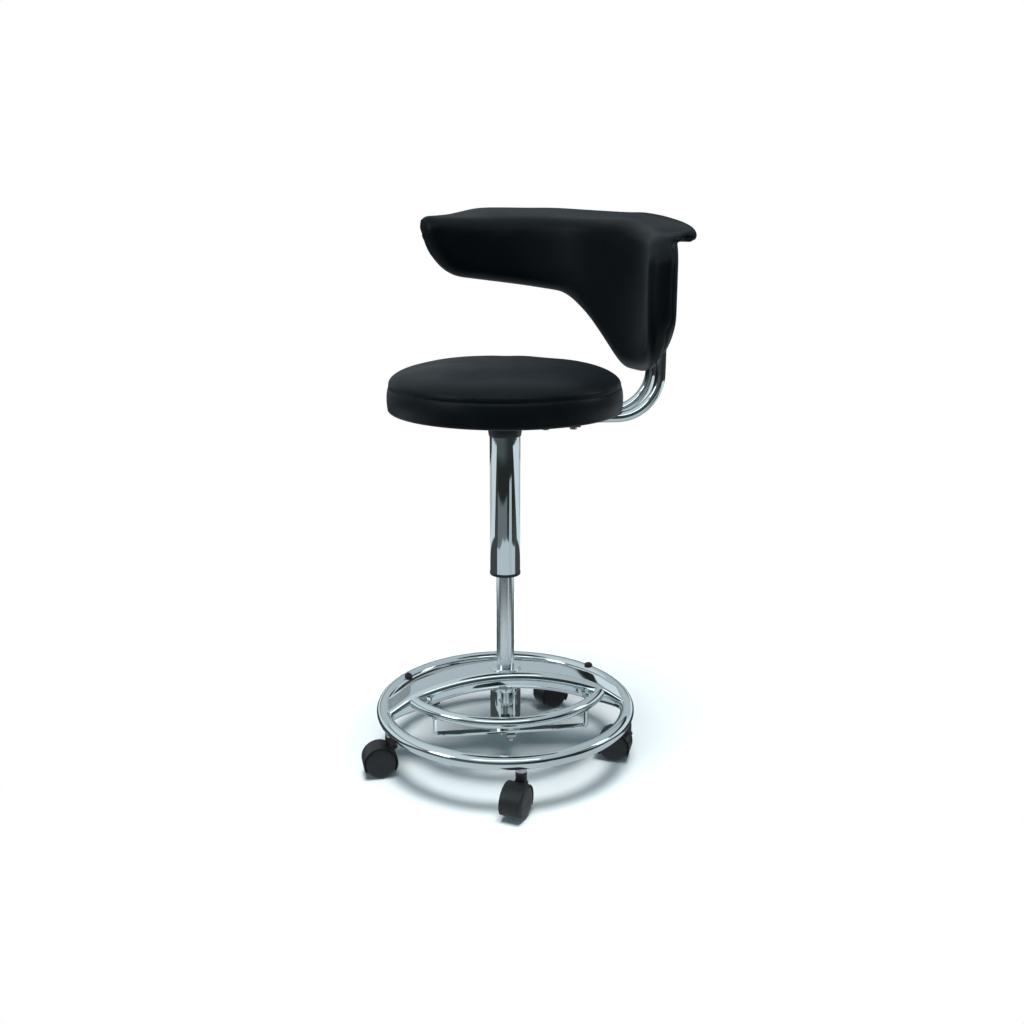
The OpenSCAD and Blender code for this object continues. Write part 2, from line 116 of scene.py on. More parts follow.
def new_piece(name, verts, faces, sharp=FLAT_SHADED_ABOVE):
    """A smooth-shaded mesh object whose edges steeper than sharp degrees stay sharp."""
    piece = raw_piece(name, verts, faces)
    work = bmesh.new()
    work.from_mesh(piece.data)
    bmesh.ops.remove_doubles(work, verts=work.verts, dist=WELD_DIST)
    bmesh.ops.recalc_face_normals(work, faces=work.faces)
    for face in work.faces:
        face.smooth = True
    for edge in work.edges:
        if len(edge.link_faces) == 2:
            edge.smooth = edge.calc_face_angle(0.0) < math.radians(sharp)
    work.to_mesh(piece.data)
    work.free()
    return piece


def polar(r, a, z=0.0):
    return r * math.cos(a), r * math.sin(a), z


def turns(steps):
    """So many even angles round a circle."""
    return [2 * math.pi * k / steps for k in range(steps)]


def grid_faces(rows, cols, wrap_rows=False, wrap_cols=False, first=0):
    faces = []
    for i in range(rows if wrap_rows else rows - 1):
        for j in range(cols if wrap_cols else cols - 1):
            here, below = i * cols, (i + 1) % rows * cols
            right = (j + 1) % cols
            corners = (here + j, here + right, below + right, below + j)
            faces.append(tuple(first + k for k in corners))
    return faces


def capped_faces(rows, cols, first=0):
    """Faces of a closed section carried along an open path, with a cap at each end."""
    last = first + (rows - 1) * cols
    return grid_faces(rows, cols, False, True, first) + [
        tuple(reversed(range(first, first + cols))), tuple(range(last, last + cols))]


def fillet(points, radius, steps=4, closed=True):
    """The polygon with each corner rounded to the radius, as far as its sides allow. A point may
    bring its own radius as a third number."""
    count = len(points)
    out = []
    for i, p in enumerate(points):
        if not closed and i in (0, count - 1):
            out.append(tuple(p))
            continue
        here = Vector(p[:2])
        before = Vector(points[i - 1][:2]) - here
        after = Vector(points[(i + 1) % count][:2]) - here
        half = before.angle(after) / 2
        r = p[2] if len(p) > 2 else radius
        reach = min(r / math.tan(half), 0.45 * before.length, 0.45 * after.length)
        if reach < WELD_DIST:
            out.append(tuple(here))
            continue
        a = here + before.normalized() * reach
        b = here + after.normalized() * reach
        for k in range(steps + 1):
            t = k / steps
            out.append(tuple((1 - t) ** 2 * a + 2 * t * (1 - t) * here + t * t * b))
    return out


def filled_in(points, step):
    """The closed polygon, with points between its own so that none lies over a step apart."""
    out = []
    for k, p in enumerate(points):
        p, q = Vector(p), Vector(points[(k + 1) % len(points)])
        pieces = max(1, round((q - p).length / step))
        out += [p.lerp(q, t / pieces) for t in range(pieces)]
    return out


def lathe(name, profile, steps=96, closed=True):
    """A solid of revolution about Z from (radius, height) points."""
    verts = [polar(r, a, z) for a in turns(steps) for r, z in profile]
    return new_piece(name, verts, grid_faces(steps, len(profile), True, closed))


def turned(name, profile, radius, corner_steps=3, steps=128, closed=True):
    """A solid of revolution whose outline has rounded corners."""
    return lathe(name, fillet(profile, radius, corner_steps, closed), steps, closed)


def weld_circle(r, z, thick, steps):
    """The outline of a round weld bead, for the lathe."""
    return [(r + thick * math.cos(w), z + thick * math.sin(w)) for w in turns(steps)]


def sweep(name, path, section, closed=False, up=Vector((0, 0, 1))):
    """Carries a closed 2-D section along a path. The section's first axis points sideways."""
    count = len(path)
    verts = []
    for i in range(count):
        if closed:
            ahead = Vector(path[(i + 1) % count]) - Vector(path[i - 1])
        else:
            ahead = Vector(path[min(i + 1, count - 1)]) - Vector(path[max(i - 1, 0)])
        ahead.normalize()
        side = ahead.cross(up).normalized()
        rise = side.cross(ahead)
        verts += [Vector(path[i]) + side * x + rise * y for x, y in section]
    shape = (count, len(section))
    faces = grid_faces(*shape, True, True) if closed else capped_faces(*shape)
    return new_piece(name, verts, faces)


def circle_points(radius, steps):
    return [polar(radius, a)[:2] for a in turns(steps)]


def joined(name, pieces):
    """Joins pieces into one, under one name."""
    bpy.ops.object.select_all(action="DESELECT")
    for piece in pieces:
        piece.select_set(True)
    bpy.context.view_layer.objects.active = pieces[0]
    bpy.ops.object.join()
    pieces[0].name = name
    pieces[0].data.name = name
    return pieces[0]


def smooth(t):
    t = min(1.0, max(0.0, t))
    return t * t * (3 - 2 * t)


def bell(distance, width):
    """1 on a line, falling off to either side of it."""
    return math.exp(-((distance / width) ** 2))


# ------------------------------------------------------------------ materials

def shader(name, base, metallic, roughness, **extra):
    """A material, its tree and its shader. Extra values go to the sockets of those names."""
    material = bpy.data.materials.new(name)
    material.use_nodes = True
    tree = material.node_tree
    bsdf = tree.nodes["Principled BSDF"]
    extra.update(Base_Color=(*base, 1), Metallic=metallic, Roughness=roughness)
    for socket, value in extra.items():
        bsdf.inputs[socket.replace("_", " ")].default_value = value
    material.diffuse_color = (*base, 1)
    return material, tree, bsdf


def node(tree, kind, **values):
    made = tree.nodes.new(kind)
    for key, value in values.items():
        if key in made.inputs:
            made.inputs[key].default_value = value
        else:
            setattr(made, key, value)
    return made


def place(tree, scale=(1, 1, 1)):
    """Object coordinates, which are the frame's own metres."""
    where = node(tree, "ShaderNodeTexCoord")
    mapping = node(tree, "ShaderNodeMapping", Scale=scale)
    tree.links.new(where.outputs["Object"], mapping.inputs["Vector"])
    return mapping.outputs["Vector"]


def noise_value(tree, vector, scale, detail=3.0, roughness=0.5):
    made = node(tree, "ShaderNodeTexNoise", Scale=scale, Detail=detail, Roughness=roughness)
    tree.links.new(vector, made.inputs["Vector"])
    return made.outputs["Fac"]


def remap(tree, value, low, high, from_low=0.3, from_high=0.7, kind="LINEAR"):
    """The value, carried over from one range to another. Noise lies mostly in 0.3 to 0.7."""
    made = node(tree, "ShaderNodeMapRange", interpolation_type=kind, **{
        "From Min": from_low, "From Max": from_high, "To Min": low, "To Max": high})
    tree.links.new(value, made.inputs["Value"])
    return made.outputs["Result"]


def mixed(tree, factor, colour_a, colour_b):
    """Blends two colours, each a plain colour or another node's output."""
    made = node(tree, "ShaderNodeMix", data_type="RGBA")
    tree.links.new(factor, made.inputs["Factor"])
    for socket, colour in ((6, colour_a), (7, colour_b)):
        if isinstance(colour, bpy.types.NodeSocket):
            tree.links.new(colour, made.inputs[socket])
        else:
            made.inputs[socket].default_value = (*colour, 1)
    return made.outputs[2]


def roughened(tree, bsdf, value, low, high, from_low=0.3):
    tree.links.new(remap(tree, value, low, high, from_low), bsdf.inputs["Roughness"])


def tinted(tree, bsdf, factor, colour_a, colour_b):
    tree.links.new(mixed(tree, factor, colour_a, colour_b), bsdf.inputs["Base Color"])


def bumped(tree, bsdf, height, strength, distance):
    made = node(tree, "ShaderNodeBump", Strength=strength, Distance=distance)
    tree.links.new(height, made.inputs["Height"])
    tree.links.new(made.outputs["Normal"], bsdf.inputs["Normal"])


def shaded(colour, share):
    return tuple(c * share for c in colour)


def chrome_material(name, base, rough_low, rough_high):
    """Plated steel: a mirror with faint polishing haze and a slightly uneven surface."""
    material, tree, bsdf = shader(name, base, 1.0, rough_low)
    vector = place(tree)
    haze = noise_value(tree, vector, 38.0, 5.0, 0.6)
    roughened(tree, bsdf, haze, rough_low, rough_high, 0.35)
    tinted(tree, bsdf, noise_value(tree, vector, 9.0), base, shaded(base, 0.93))
    bumped(tree, bsdf, noise_value(tree, vector, 60.0, 2.0), 0.25, 0.00002)
    return material


def steel_material(name, base, rough, stretch):
    """Satin metal with fine lines, drawn out along the axis whose stretch is small."""
    material, tree, bsdf = shader(name, base, 1.0, rough)
    lines = noise_value(tree, place(tree, stretch), 1.0, 4.0, 0.65)
    roughened(tree, bsdf, lines, rough * 0.75, rough * 1.35)
    tinted(tree, bsdf, lines, shaded(base, 0.88), base)
    bumped(tree, bsdf, lines, 0.2, 0.00004)
    return material


def plastic_material(name, base, rough, grain_scale, grain_depth):
    """Moulded plastic or rubber with an eroded grain."""
    material, tree, bsdf = shader(name, base, 0.0, rough)
    vector = place(tree)
    patches = noise_value(tree, vector, 30.0)
    roughened(tree, bsdf, patches, rough - 0.06, rough + 0.08)
    tinted(tree, bsdf, patches, base, shaded(base, 1.35))
    bumped(tree, bsdf, noise_value(tree, vector, grain_scale, 3.0, 0.7), 0.5, grain_depth)
    return material


def vinyl_material(name, base):
    """Upholstery vinyl: pebbled grain, soft satin gloss and slight wear in its sheen."""
    material, tree, bsdf = shader(name, base, 0.0, 0.36, Specular_IOR_Level=0.14, Sheen_Weight=0.06,
                                  Sheen_Roughness=0.4, Sheen_Tint=(0.75, 0.85, 1.0, 1))
    vector = place(tree)
    cells = node(tree, "ShaderNodeTexVoronoi", feature="DISTANCE_TO_EDGE", Scale=900.0,
                 Randomness=0.9)
    tree.links.new(vector, cells.inputs["Vector"])
    both = node(tree, "ShaderNodeMath", operation="MULTIPLY_ADD")
    tree.links.new(noise_value(tree, vector, 1500.0, 2.0, 0.6), both.inputs[0])
    both.inputs[1].default_value = 0.35
    tree.links.new(remap(tree, cells.outputs["Distance"], 0.0, 1.0, 0.0, 0.25), both.inputs[2])
    wear = noise_value(tree, vector, 16.0, 4.0, 0.55)
    roughened(tree, bsdf, wear, 0.33, 0.43)
    tinted(tree, bsdf, wear, base, shaded(base, 1.5))
    bumped(tree, bsdf, both.outputs["Value"], 0.35, 0.00006)
    return material


def plywood_material(name):
    """Plywood: pale veneer with long grain."""
    material, tree, bsdf = shader(name, (0.55, 0.38, 0.22), 0.0, 0.55)
    grain = noise_value(tree, place(tree, (12, 160, 160)), 1.0, 5.0, 0.6)
    tinted(tree, bsdf, grain, (0.62, 0.45, 0.27), (0.36, 0.23, 0.12))
    bumped(tree, bsdf, grain, 0.3, 0.0001)
    return material


def foam_material(name):
    material, tree, bsdf = shader(name, (0.72, 0.66, 0.42), 0.0, 0.95)
    cells = node(tree, "ShaderNodeTexVoronoi", Scale=700.0)
    tree.links.new(place(tree), cells.inputs["Vector"])
    tinted(tree, bsdf, cells.outputs["Distance"], (0.78, 0.72, 0.48), (0.5, 0.44, 0.25))
    bumped(tree, bsdf, cells.outputs["Distance"], 0.6, 0.0003)
    return material


SLOT_MATERIALS = {
    "chrome": chrome_material("chrome_plate", (0.73, 0.81, 0.83), 0.035, 0.10),
    "rod_steel": chrome_material("ground_rod", (0.75, 0.78, 0.80), 0.06, 0.12),
    "satin_steel": steel_material("satin_steel", (0.90, 0.96, 0.98), 0.24, (260, 260, 7)),
    "zinc": steel_material("zinc_plate", (0.58, 0.60, 0.62), 0.32, (300, 300, 300)),
    "black_plastic": plastic_material("black_plastic", (0.014, 0.015, 0.017), 0.42, 1400.0,
                                      0.00005),
    "caster_plastic": plastic_material("caster_nylon", (0.0065, 0.0070, 0.0080), 0.46, 1100.0,
                                       0.00007),
    "black_rubber": plastic_material("black_rubber", (0.010, 0.010, 0.011), 0.6, 900.0, 0.00006),
    "black_paint": plastic_material("powder_coat", (0.016, 0.017, 0.018), 0.45, 700.0, 0.0001),
    "vinyl": vinyl_material("black_vinyl", (0.0036, 0.0052, 0.0062)),
    "plywood": plywood_material("plywood"),
    "foam": foam_material("foam")}


def dress(piece, slot):
    """Gives a piece the material of a record slot."""
    piece.data.materials.clear()
    piece.data.materials.append(SLOT_MATERIALS[slot])


for entry in frame["record"]["subparts"]:
    dress(frame["nodes"][entry["node"]], entry["material_slot"])


def finished(piece, body, slot, *replaced):
    """Dresses a new piece, lets it ride on its body and hides the CAD nodes it stands for."""
    dress(piece, slot)
    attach(piece, body)
    if replaced:
        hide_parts(*replaced)


# ------------------------------------------------------------------ base

def foot_ring():
    path = [polar(RING_R, a, RING_Z) for a in turns(240)]
    ring = sweep("foot_ring", path, circle_points(RING_TUBE_R, 40), closed=True)
    finished(ring, "base", "chrome", "base_ring")


BEAM_HALF = RING_R - 2 * MM
BEAM_RISE = BEAM_TOP - (RING_Z + RING_TUBE_R + 2 * MM)
BEAM_TOP_R = (BEAM_HALF ** 2 + BEAM_RISE ** 2) / (2 * BEAM_RISE)
BEAM_MID_R = BEAM_TOP_R - BEAM_T / 2
BEAM_CENTRE_Z = BEAM_TOP - BEAM_TOP_R
BEAM_EDGE_R = 11.25 * MM
BEAM_STEPS = 96
BEAD_R = 2 * MM


def beam_point(angle, across, up):
    """A point on the beam: angle from its top, across towards +Y, up from its middle arc."""
    r = BEAM_MID_R + up
    return Vector((r * math.sin(angle), across, BEAM_CENTRE_Z + r * math.cos(angle)))


def beam_thin(angle):
    """How much of its depth the beam keeps: it is pressed flatter where it meets the ring."""
    reach = abs(BEAM_MID_R * math.sin(angle))
    return 1 - 0.36 * smooth((reach - 140 * MM) / (48 * MM))


def inside_ring(point):
    flat = math.hypot(point.x, point.y)
    return math.hypot(flat - RING_R, point.z - RING_Z) < RING_TUBE_R - 1.2 * MM or flat > RING_R


def beam_end(across, up):
    """The angle at which a line along the beam enters the ring's tube, by halving."""
    low, high = math.radians(24), math.radians(34)
    for _ in range(30):
        middle = (low + high) / 2
        if inside_ring(beam_point(middle, across, up * beam_thin(middle))):
            high = middle
        else:
            low = middle
    return high


def arched_beam():
    outline = fillet([(-BEAM_W / 2, -BEAM_T / 2), (BEAM_W / 2, -BEAM_T / 2),
                      (BEAM_W / 2, BEAM_T / 2), (-BEAM_W / 2, BEAM_T / 2)], BEAM_EDGE_R, 8)
    # Extra points keep the broad top and bottom even
    section = filled_in(outline, 4 * MM)
    ends = [beam_end(x, y) for x, y in section]
    verts = []
    for i in range(BEAM_STEPS + 1):
        t = 2 * i / BEAM_STEPS - 1
        verts += [beam_point(t * end, x, y * beam_thin(t * end))
                  for (x, y), end in zip(section, ends)]
    faces = grid_faces(BEAM_STEPS + 1, len(section), False, True)
    finished(new_piece("beam_shell", verts, faces, 50), "base", "chrome", "arched_beam")
    # Weld beads where the beam's outline runs into the ring
    beads = []
    for side in (-1, 1):
        path = []
        for (x, y), end in zip(section, ends):
            p = beam_point(side * end, x, y * beam_thin(end))
            out = Vector((0, x / BEAM_W, y / BEAM_T)).normalized()
            path.append(p + out * 0.6 * MM - Vector((side * 1.0 * MM, 0, 0)))
        fine = filled_in(path, 1.5 * MM)
        verts = []
        for k, p in enumerate(fine):
            ahead = (fine[(k + 1) % len(fine)] - fine[k - 1]).normalized()
            along_x = abs(ahead.x) > 0.9
            a = (ahead.orthogonal() if along_x else ahead.cross(Vector((1, 0, 0)))).normalized()
            b = ahead.cross(a)
            r = BEAD_R * (1 + 0.16 * math.sin(k * 1.9) + 0.1 * noise.noise(p * 300))
            verts += [p + a * r * math.cos(w) + b * r * math.sin(w) for w in turns(10)]
        beads.append(new_piece("bead", verts, grid_faces(len(fine), 10, True, True), 80))
    finished(joined("beam_welds", beads), "base", "chrome")


HUB_WALL = 3 * MM
HUB_SLOT_HALF = 10 * MM
HUB_SLOT_TOP = 108 * MM
HUB_STEPS = 72


def hub():
    top, bottom = hub_hi[2], hub_lo[2]
    start = math.asin(HUB_SLOT_HALF / HUB_R)
    # The lower part is an open tube with a slot facing -Y, and the upper part is a full tube
    lower = fillet([(HUB_R, bottom), (HUB_R, HUB_SLOT_TOP), (HUB_R - HUB_WALL, HUB_SLOT_TOP),
                    (HUB_R - HUB_WALL, bottom)], 0.6 * MM, 3)
    verts = []
    for k in range(HUB_STEPS + 1):
        a = -math.pi / 2 + start + (2 * math.pi - 2 * start) * k / HUB_STEPS
        verts += [polar(r, a, z) for r, z in lower]
    pieces = [new_piece("hub_lower", verts, capped_faces(HUB_STEPS + 1, len(lower)), 40),
              turned("hub_upper", [(HUB_R, HUB_SLOT_TOP), (HUB_R, top, 1.2 * MM), (CYLINDER_R, top),
                                   (CYLINDER_R, HUB_SLOT_TOP)], 0.8 * MM, 4, HUB_STEPS)]
    # Raised welds close the joints on top of the beam and under it
    for z, r in ((BEAM_TOP - 0.2 * MM, HUB_R + 0.6 * MM), (BEAM_TOP - BEAM_T - 0.4 * MM, HUB_R)):
        pieces.append(lathe("hub_weld", weld_circle(r, z, 1.7 * MM, 12), HUB_STEPS))
    finished(joined("hub_shell", pieces), "base", "chrome", "hub_tube", "taper_sleeve")


# Azimuth of each plug, and how far it leans about the ring's tube, in degrees
PLUGS = ((36, 0), (144, -40))
PLUG_PROFILE = [(r * MM, z * MM) for r, z in (
    (0, 5.4), (2.6, 5.1), (4.8, 4.2), (6.4, 2.6), (7, 0.8), (7, -3), (0, -3))]


def ring_plugs():
    pieces = []
    for azimuth, lean in PLUGS:
        plug = lathe("plug", PLUG_PROFILE, 40, closed=False)
        plug.data.transform(Matrix.Rotation(math.radians(azimuth), 4, "Z")
                            @ Matrix.Translation((RING_R, 0, RING_Z))
                            @ Matrix.Rotation(math.radians(lean), 4, "Y")
                            @ Matrix.Translation((0, 0, RING_TUBE_R)))
        pieces.append(plug)
    finished(joined("ring_caps", pieces), "base", "black_rubber", "ring_plugs")


BOW_STEPS = 110
BOW_END_CUT = 2.5 * MM


def foot_bow():
    """The bow's tube, from its left end to its right end."""
    half_angle = math.acos((BOW_CENTRE_Y - bow_hi[1] + BOW_END_CUT) / BOW_R)
    angles = [half_angle * (2 * k / BOW_STEPS - 1) for k in range(BOW_STEPS + 1)]
    path = [(BOW_R * math.sin(a), BOW_CENTRE_Y - BOW_R * math.cos(a), BOW_Z) for a in angles]
    finished(sweep("bow_tube", path, circle_points(BOW_TUBE_R, 32)), "pedal", "chrome", "foot_bow")


STRAP_T = 4 * MM
STRAP_BEND = 5 * MM
STRAP_RIM = 0.8 * MM


def strap():
    lo, hi = span("bow_strap")
    width = hi[1] - lo[1]
    t = STRAP_T
    half = (hi[0] - lo[0]) / 2
    bottom = lo[2]
    top = hi[2] - 1 * MM
    outer = fillet([(-half, top), (-half, bottom), (half, bottom), (half, top)],
                   STRAP_BEND + t, 8, False)
    inner = fillet([(-half + t, top), (-half + t, bottom + t), (half - t, bottom + t),
                    (half - t, top)], STRAP_BEND, 8, False)
    # Its section has a chamfer at each of the four edges
    rim = ((STRAP_RIM, 0), (0, STRAP_RIM), (0, width - STRAP_RIM), (STRAP_RIM, width))
    verts = []
    for (ox, oz), (ix, iz) in zip(outer, inner):
        o, i = Vector((ox, 0, oz)), Vector((ix, 0, iz))
        n = (i - o).normalized()
        verts += [o + n * depth + Vector((0, lo[1] + across, 0)) for depth, across in rim]
        verts += [i - n * depth + Vector((0, lo[1] + across, 0)) for depth, across in rim[::-1]]
    pieces = [new_piece("strap_bar", verts, capped_faces(len(outer), 8), 30)]
    # Fillet welds where its ends meet the bow
    for s in (-1, 1):
        bead = lathe("bead", weld_circle(3.4 * MM, 0, 1.5 * MM, 10), 32)
        at = (s * (half - t / 2), (lo[1] + hi[1]) / 2, BOW_Z - BOW_TUBE_R + 0.6 * MM)
        bead.data.transform(Matrix.Translation(at) @ Matrix.Diagonal((1, 1.7, 1, 1)))
        pieces.append(bead)
    finished(joined("bow_stirrup", pieces), "pedal", "chrome", "bow_strap")


BOLT_R = 3 * MM
BOLT_HEAD_R = 6 * MM


def strap_bolt():
    lo, hi = span("strap_bolt")
    under_head = span("bow_strap")[0][2] + STRAP_T
    head = turned("head", [(0, under_head + 4 * MM), (3.6 * MM, under_head + 3.9 * MM),
                           (BOLT_HEAD_R, under_head + 1.6 * MM), (BOLT_HEAD_R, under_head),
                           (0, under_head)], 0.8 * MM, 3, 40, False)
    shank = turned("shank", [(0, lo[2]), (BOLT_R, lo[2]), (BOLT_R, under_head), (0, under_head)],
                   0.5 * MM, 2, 32, False)
    nut = hex_nut(6.2 * MM, 5 * MM, BOLT_R)
    nut.data.transform(Matrix.Translation((0, 0, lo[2] + 1 * MM)))
    bolt = joined("stirrup_bolt", [head, shank, nut])
    bolt.data.transform(Matrix.Translation((0, (lo[1] + hi[1]) / 2, 0)))
    finished(bolt, "pedal", "zinc", "strap_bolt")


def hex_nut(across, height, hole):
    """A nut standing on z = 0, with chamfered corners."""
    profile = [(hole, 0), (across * 0.84, 0), (across, 0.1 * height), (across, 0.9 * height),
               (across * 0.84, height), (hole, height)]
    verts = []
    angles = turns(48)
    for a in angles:
        wedge = (a % (math.pi / 3)) - math.pi / 6
        flat = across * math.cos(math.pi / 6) / math.cos(wedge)
        verts += [polar(min(r, flat), a, z) for r, z in profile]
    return new_piece("nut", verts, grid_faces(len(angles), len(profile), True, True), 25)


# ------------------------------------------------------------------ column

COLUMN_WALL = 1.5 * MM
VALVE_HOLE_R = 4.05 * MM
ROD_HOLE_R = 6 * MM
LIP_HOLE_R = 14.6 * MM


def column():
    cover = turned("cover_sleeve", [(COVER_R, cover_lo[2]), (COVER_R, cover_hi[2]),
                                    (COVER_R - COLUMN_WALL, cover_hi[2]),
                                    (COVER_R - COLUMN_WALL, cover_lo[2])], 0.6 * MM)
    finished(cover, "seat", "chrome", "cover_tube")

    low, high = cylinder_lo[2], cylinder_hi[2]
    tube = turned("lift_cylinder", [(VALVE_HOLE_R, low), (CYLINDER_R - 2 * MM, low),
                                    (CYLINDER_R, low + 6 * MM), (CYLINDER_R, high),
                                    (ROD_HOLE_R, high), (ROD_HOLE_R, high - 2 * MM),
                                    (CYLINDER_R - COLUMN_WALL, high - 2 * MM),
                                    (CYLINDER_R - COLUMN_WALL, low + 6 * MM),
                                    (VALVE_HOLE_R, low + 6 * MM)], 0.8 * MM)
    finished(tube, "base", "satin_steel", "gas_cylinder")

    lo, hi = span("cover_ring")
    low, high = lo[2], hi[2]
    ring = turned("cover_lip", [(hi[0], low, 1.4 * MM), (hi[0], high + 0.6 * MM),
                                (COVER_R + 0.05 * MM, high + 0.8 * MM), (COVER_R + 0.05 * MM, high),
                                (LIP_HOLE_R, high), (LIP_HOLE_R, low)], 0.3 * MM)
    finished(ring, "seat", "black_plastic", "cover_ring")

    lo, hi = span("seat_collar")
    r, low, high = hi[0], lo[2], hi[2]
    collar = turned("column_collar", [(COVER_R, low), (r - 0.8 * MM, low), (r, low + 6 * MM),
                                      (r, high - 12 * MM), (r + 6 * MM, high), (COVER_R, high)],
                    1.2 * MM, 3, 96)
    finished(collar, "seat", "black_plastic", "seat_collar")


# ------------------------------------------------------------------ frame tubes

FRAME_BEND = 64 * MM


def frame_tubes():
    for side in ("left", "right"):
        lo, hi = span("backrest_tube_" + side)
        r = (hi[1] - lo[1]) / 2
        y = (hi[1] + lo[1]) / 2
        low_z = lo[2] + r
        up_x = hi[0] - r
        bend_x, bend_z = up_x - FRAME_BEND, low_z + FRAME_BEND
        path = [(lo[0] + (bend_x - lo[0]) * k / 14, y, low_z) for k in range(14)]
        path += [(bend_x + FRAME_BEND * math.sin(a), y, bend_z - FRAME_BEND * math.cos(a))
                 for a in (math.pi / 2 * k / 30 for k in range(31))]
        path += [(up_x, y, bend_z + (hi[2] - bend_z) * k / 10) for k in range(1, 11)]
        tube = sweep("frame_tube_" + side, path, circle_points(r, 32), up=Vector((0, 1, 0)))
        finished(tube, "seat", "chrome", "backrest_tube_" + side)


# ------------------------------------------------------------------ upholstery

CLOTH_FRAMES = 20
CLOTH = {"quality": 6, "mass": 0.25, "tension_stiffness": 20, "compression_stiffness": 20,
         "shear_stiffness": 8, "bending_stiffness": 1.5, "use_pressure": True,
         "vertex_group_mass": "held"}


def puffed(verts, faces, pinned, pressure, cap):
    """How far each point moves when the closed skin is inflated as cloth, with the pinned
    points held."""
    rest = np.array(verts, float)
    work = raw_piece("cloth_work", verts, faces)
    mesh = work.data
    group = work.vertex_groups.new(name="held")
    for index in np.flatnonzero(pinned > 0):
        group.add([int(index)], float(pinned[index]), "REPLACE")
    cloth = work.modifiers.new("cloth", "CLOTH")
    for key, value in CLOTH.items():
        setattr(cloth.settings, key, value)
    cloth.settings.uniform_pressure_force = pressure
    cloth.settings.effector_weights.gravity = 0
    cloth.collision_settings.use_collision = False
    cloth.point_cache.frame_start = 1
    cloth.point_cache.frame_end = CLOTH_FRAMES
    scene = bpy.context.scene
    for step in range(1, CLOTH_FRAMES + 1):
        scene.frame_set(step)
    graph = bpy.context.evaluated_depsgraph_get()
    after = work.evaluated_get(graph).to_mesh()
    moved = np.zeros(len(after.vertices) * 3)
    after.vertices.foreach_get("co", moved)
    moved = moved.reshape(-1, 3) - rest
    bpy.data.objects.remove(work)
    bpy.data.meshes.remove(mesh)
    scene.frame_set(1)
    length = np.linalg.norm(moved, axis=1, keepdims=True)
    limited = cap * np.tanh(length / cap)
    return moved * limited / np.maximum(length, 1e-9)


def calmed(moved, rows, cols, wrap_rows, times):
    """The moves of a grid of points, evened out between neighbours but not at its rim."""
    grid = moved.reshape(rows, cols, 3).copy()
    for _ in range(times):
        if wrap_rows:
            around = (np.roll(grid, 1, 0) + np.roll(grid, -1, 0)) / 2
            grid = grid * 0.5 + around * 0.5
        else:
            grid[1:-1] = grid[1:-1] * 0.5 + (grid[2:] + grid[:-2]) * 0.25
        grid[:, 1:-1] = grid[:, 1:-1] * 0.5 + (grid[:, 2:] + grid[:, :-2]) * 0.25
    return grid.reshape(-1, 3)


def stretched(values, rows, cols, fine_rows, fine_cols):
    """A coarse grid of vectors whose rows go all round, read at the points of a finer grid."""
    grid = values.reshape(rows, cols, 3)
    at_row = np.arange(fine_rows) / fine_rows * rows
    at_col = np.arange(fine_cols) / (fine_cols - 1) * (cols - 1)
    r0 = np.floor(at_row).astype(int)
    c0 = np.minimum(np.floor(at_col).astype(int), cols - 2)
    rt, ct = (at_row - r0)[:, None, None], (at_col - c0)[None, :, None]
    rt, ct = rt * rt * (3 - 2 * rt), ct * ct * (3 - 2 * ct)
    low, high = (grid[r][:, c0] * (1 - ct) + grid[r][:, c0 + 1] * ct
                 for r in (r0, (r0 + 1) % rows))
    return (low * (1 - rt) + high * rt).reshape(-1, 3)


SEAM_Z = SEAT_LOW + 38 * MM
SEAM_R = SEAT_R - 0.6 * MM
SHOULDER_POWER = 6.5
CROWN = 2.5 * MM
BAND_BULGE = 1.6 * MM
BAND_SPREAD = 1.4 * MM
BAND_SHARE = 0.8
FOOT_H = 5 * MM
FOOT_IN = 7 * MM


def seat_profile(t):
    """(radius, height) on the seat's skin: t 0 is the middle of the top, 1 the seam between
    the top panel and the side band, and 2 the edge of the underside."""
    if t <= 1:
        # A flat crown that turns down over a soft shoulder
        a = t * math.pi / 2
        share = math.sin(a) ** 0.5
        drop = math.sqrt(max(0.0, 1 - share ** SHOULDER_POWER))
        rise = (SEAT_TOP - CROWN - SEAM_Z) * drop + CROWN * (1 - share ** 2)
        return SEAM_R * share, SEAM_Z + rise
    u = (t - 1) / BAND_SHARE
    if u < 1:
        r = SEAM_R + BAND_BULGE * math.sin(math.pi * u) + BAND_SPREAD * u
        return r, SEAM_Z - (SEAM_Z - SEAT_LOW - FOOT_H) * u
    a = (t - 1 - BAND_SHARE) / (1 - BAND_SHARE) * math.pi / 2
    return (SEAM_R + BAND_SPREAD - FOOT_IN * (1 - math.cos(a)),
            SEAT_LOW + FOOT_H * (1 - math.sin(a)))


STITCH_PITCH = 3.7 * MM
STITCH_SHARE = 0.62
STITCH_STEPS = 4
THREAD_R = 0.3 * MM
THREAD_SIDES = 6


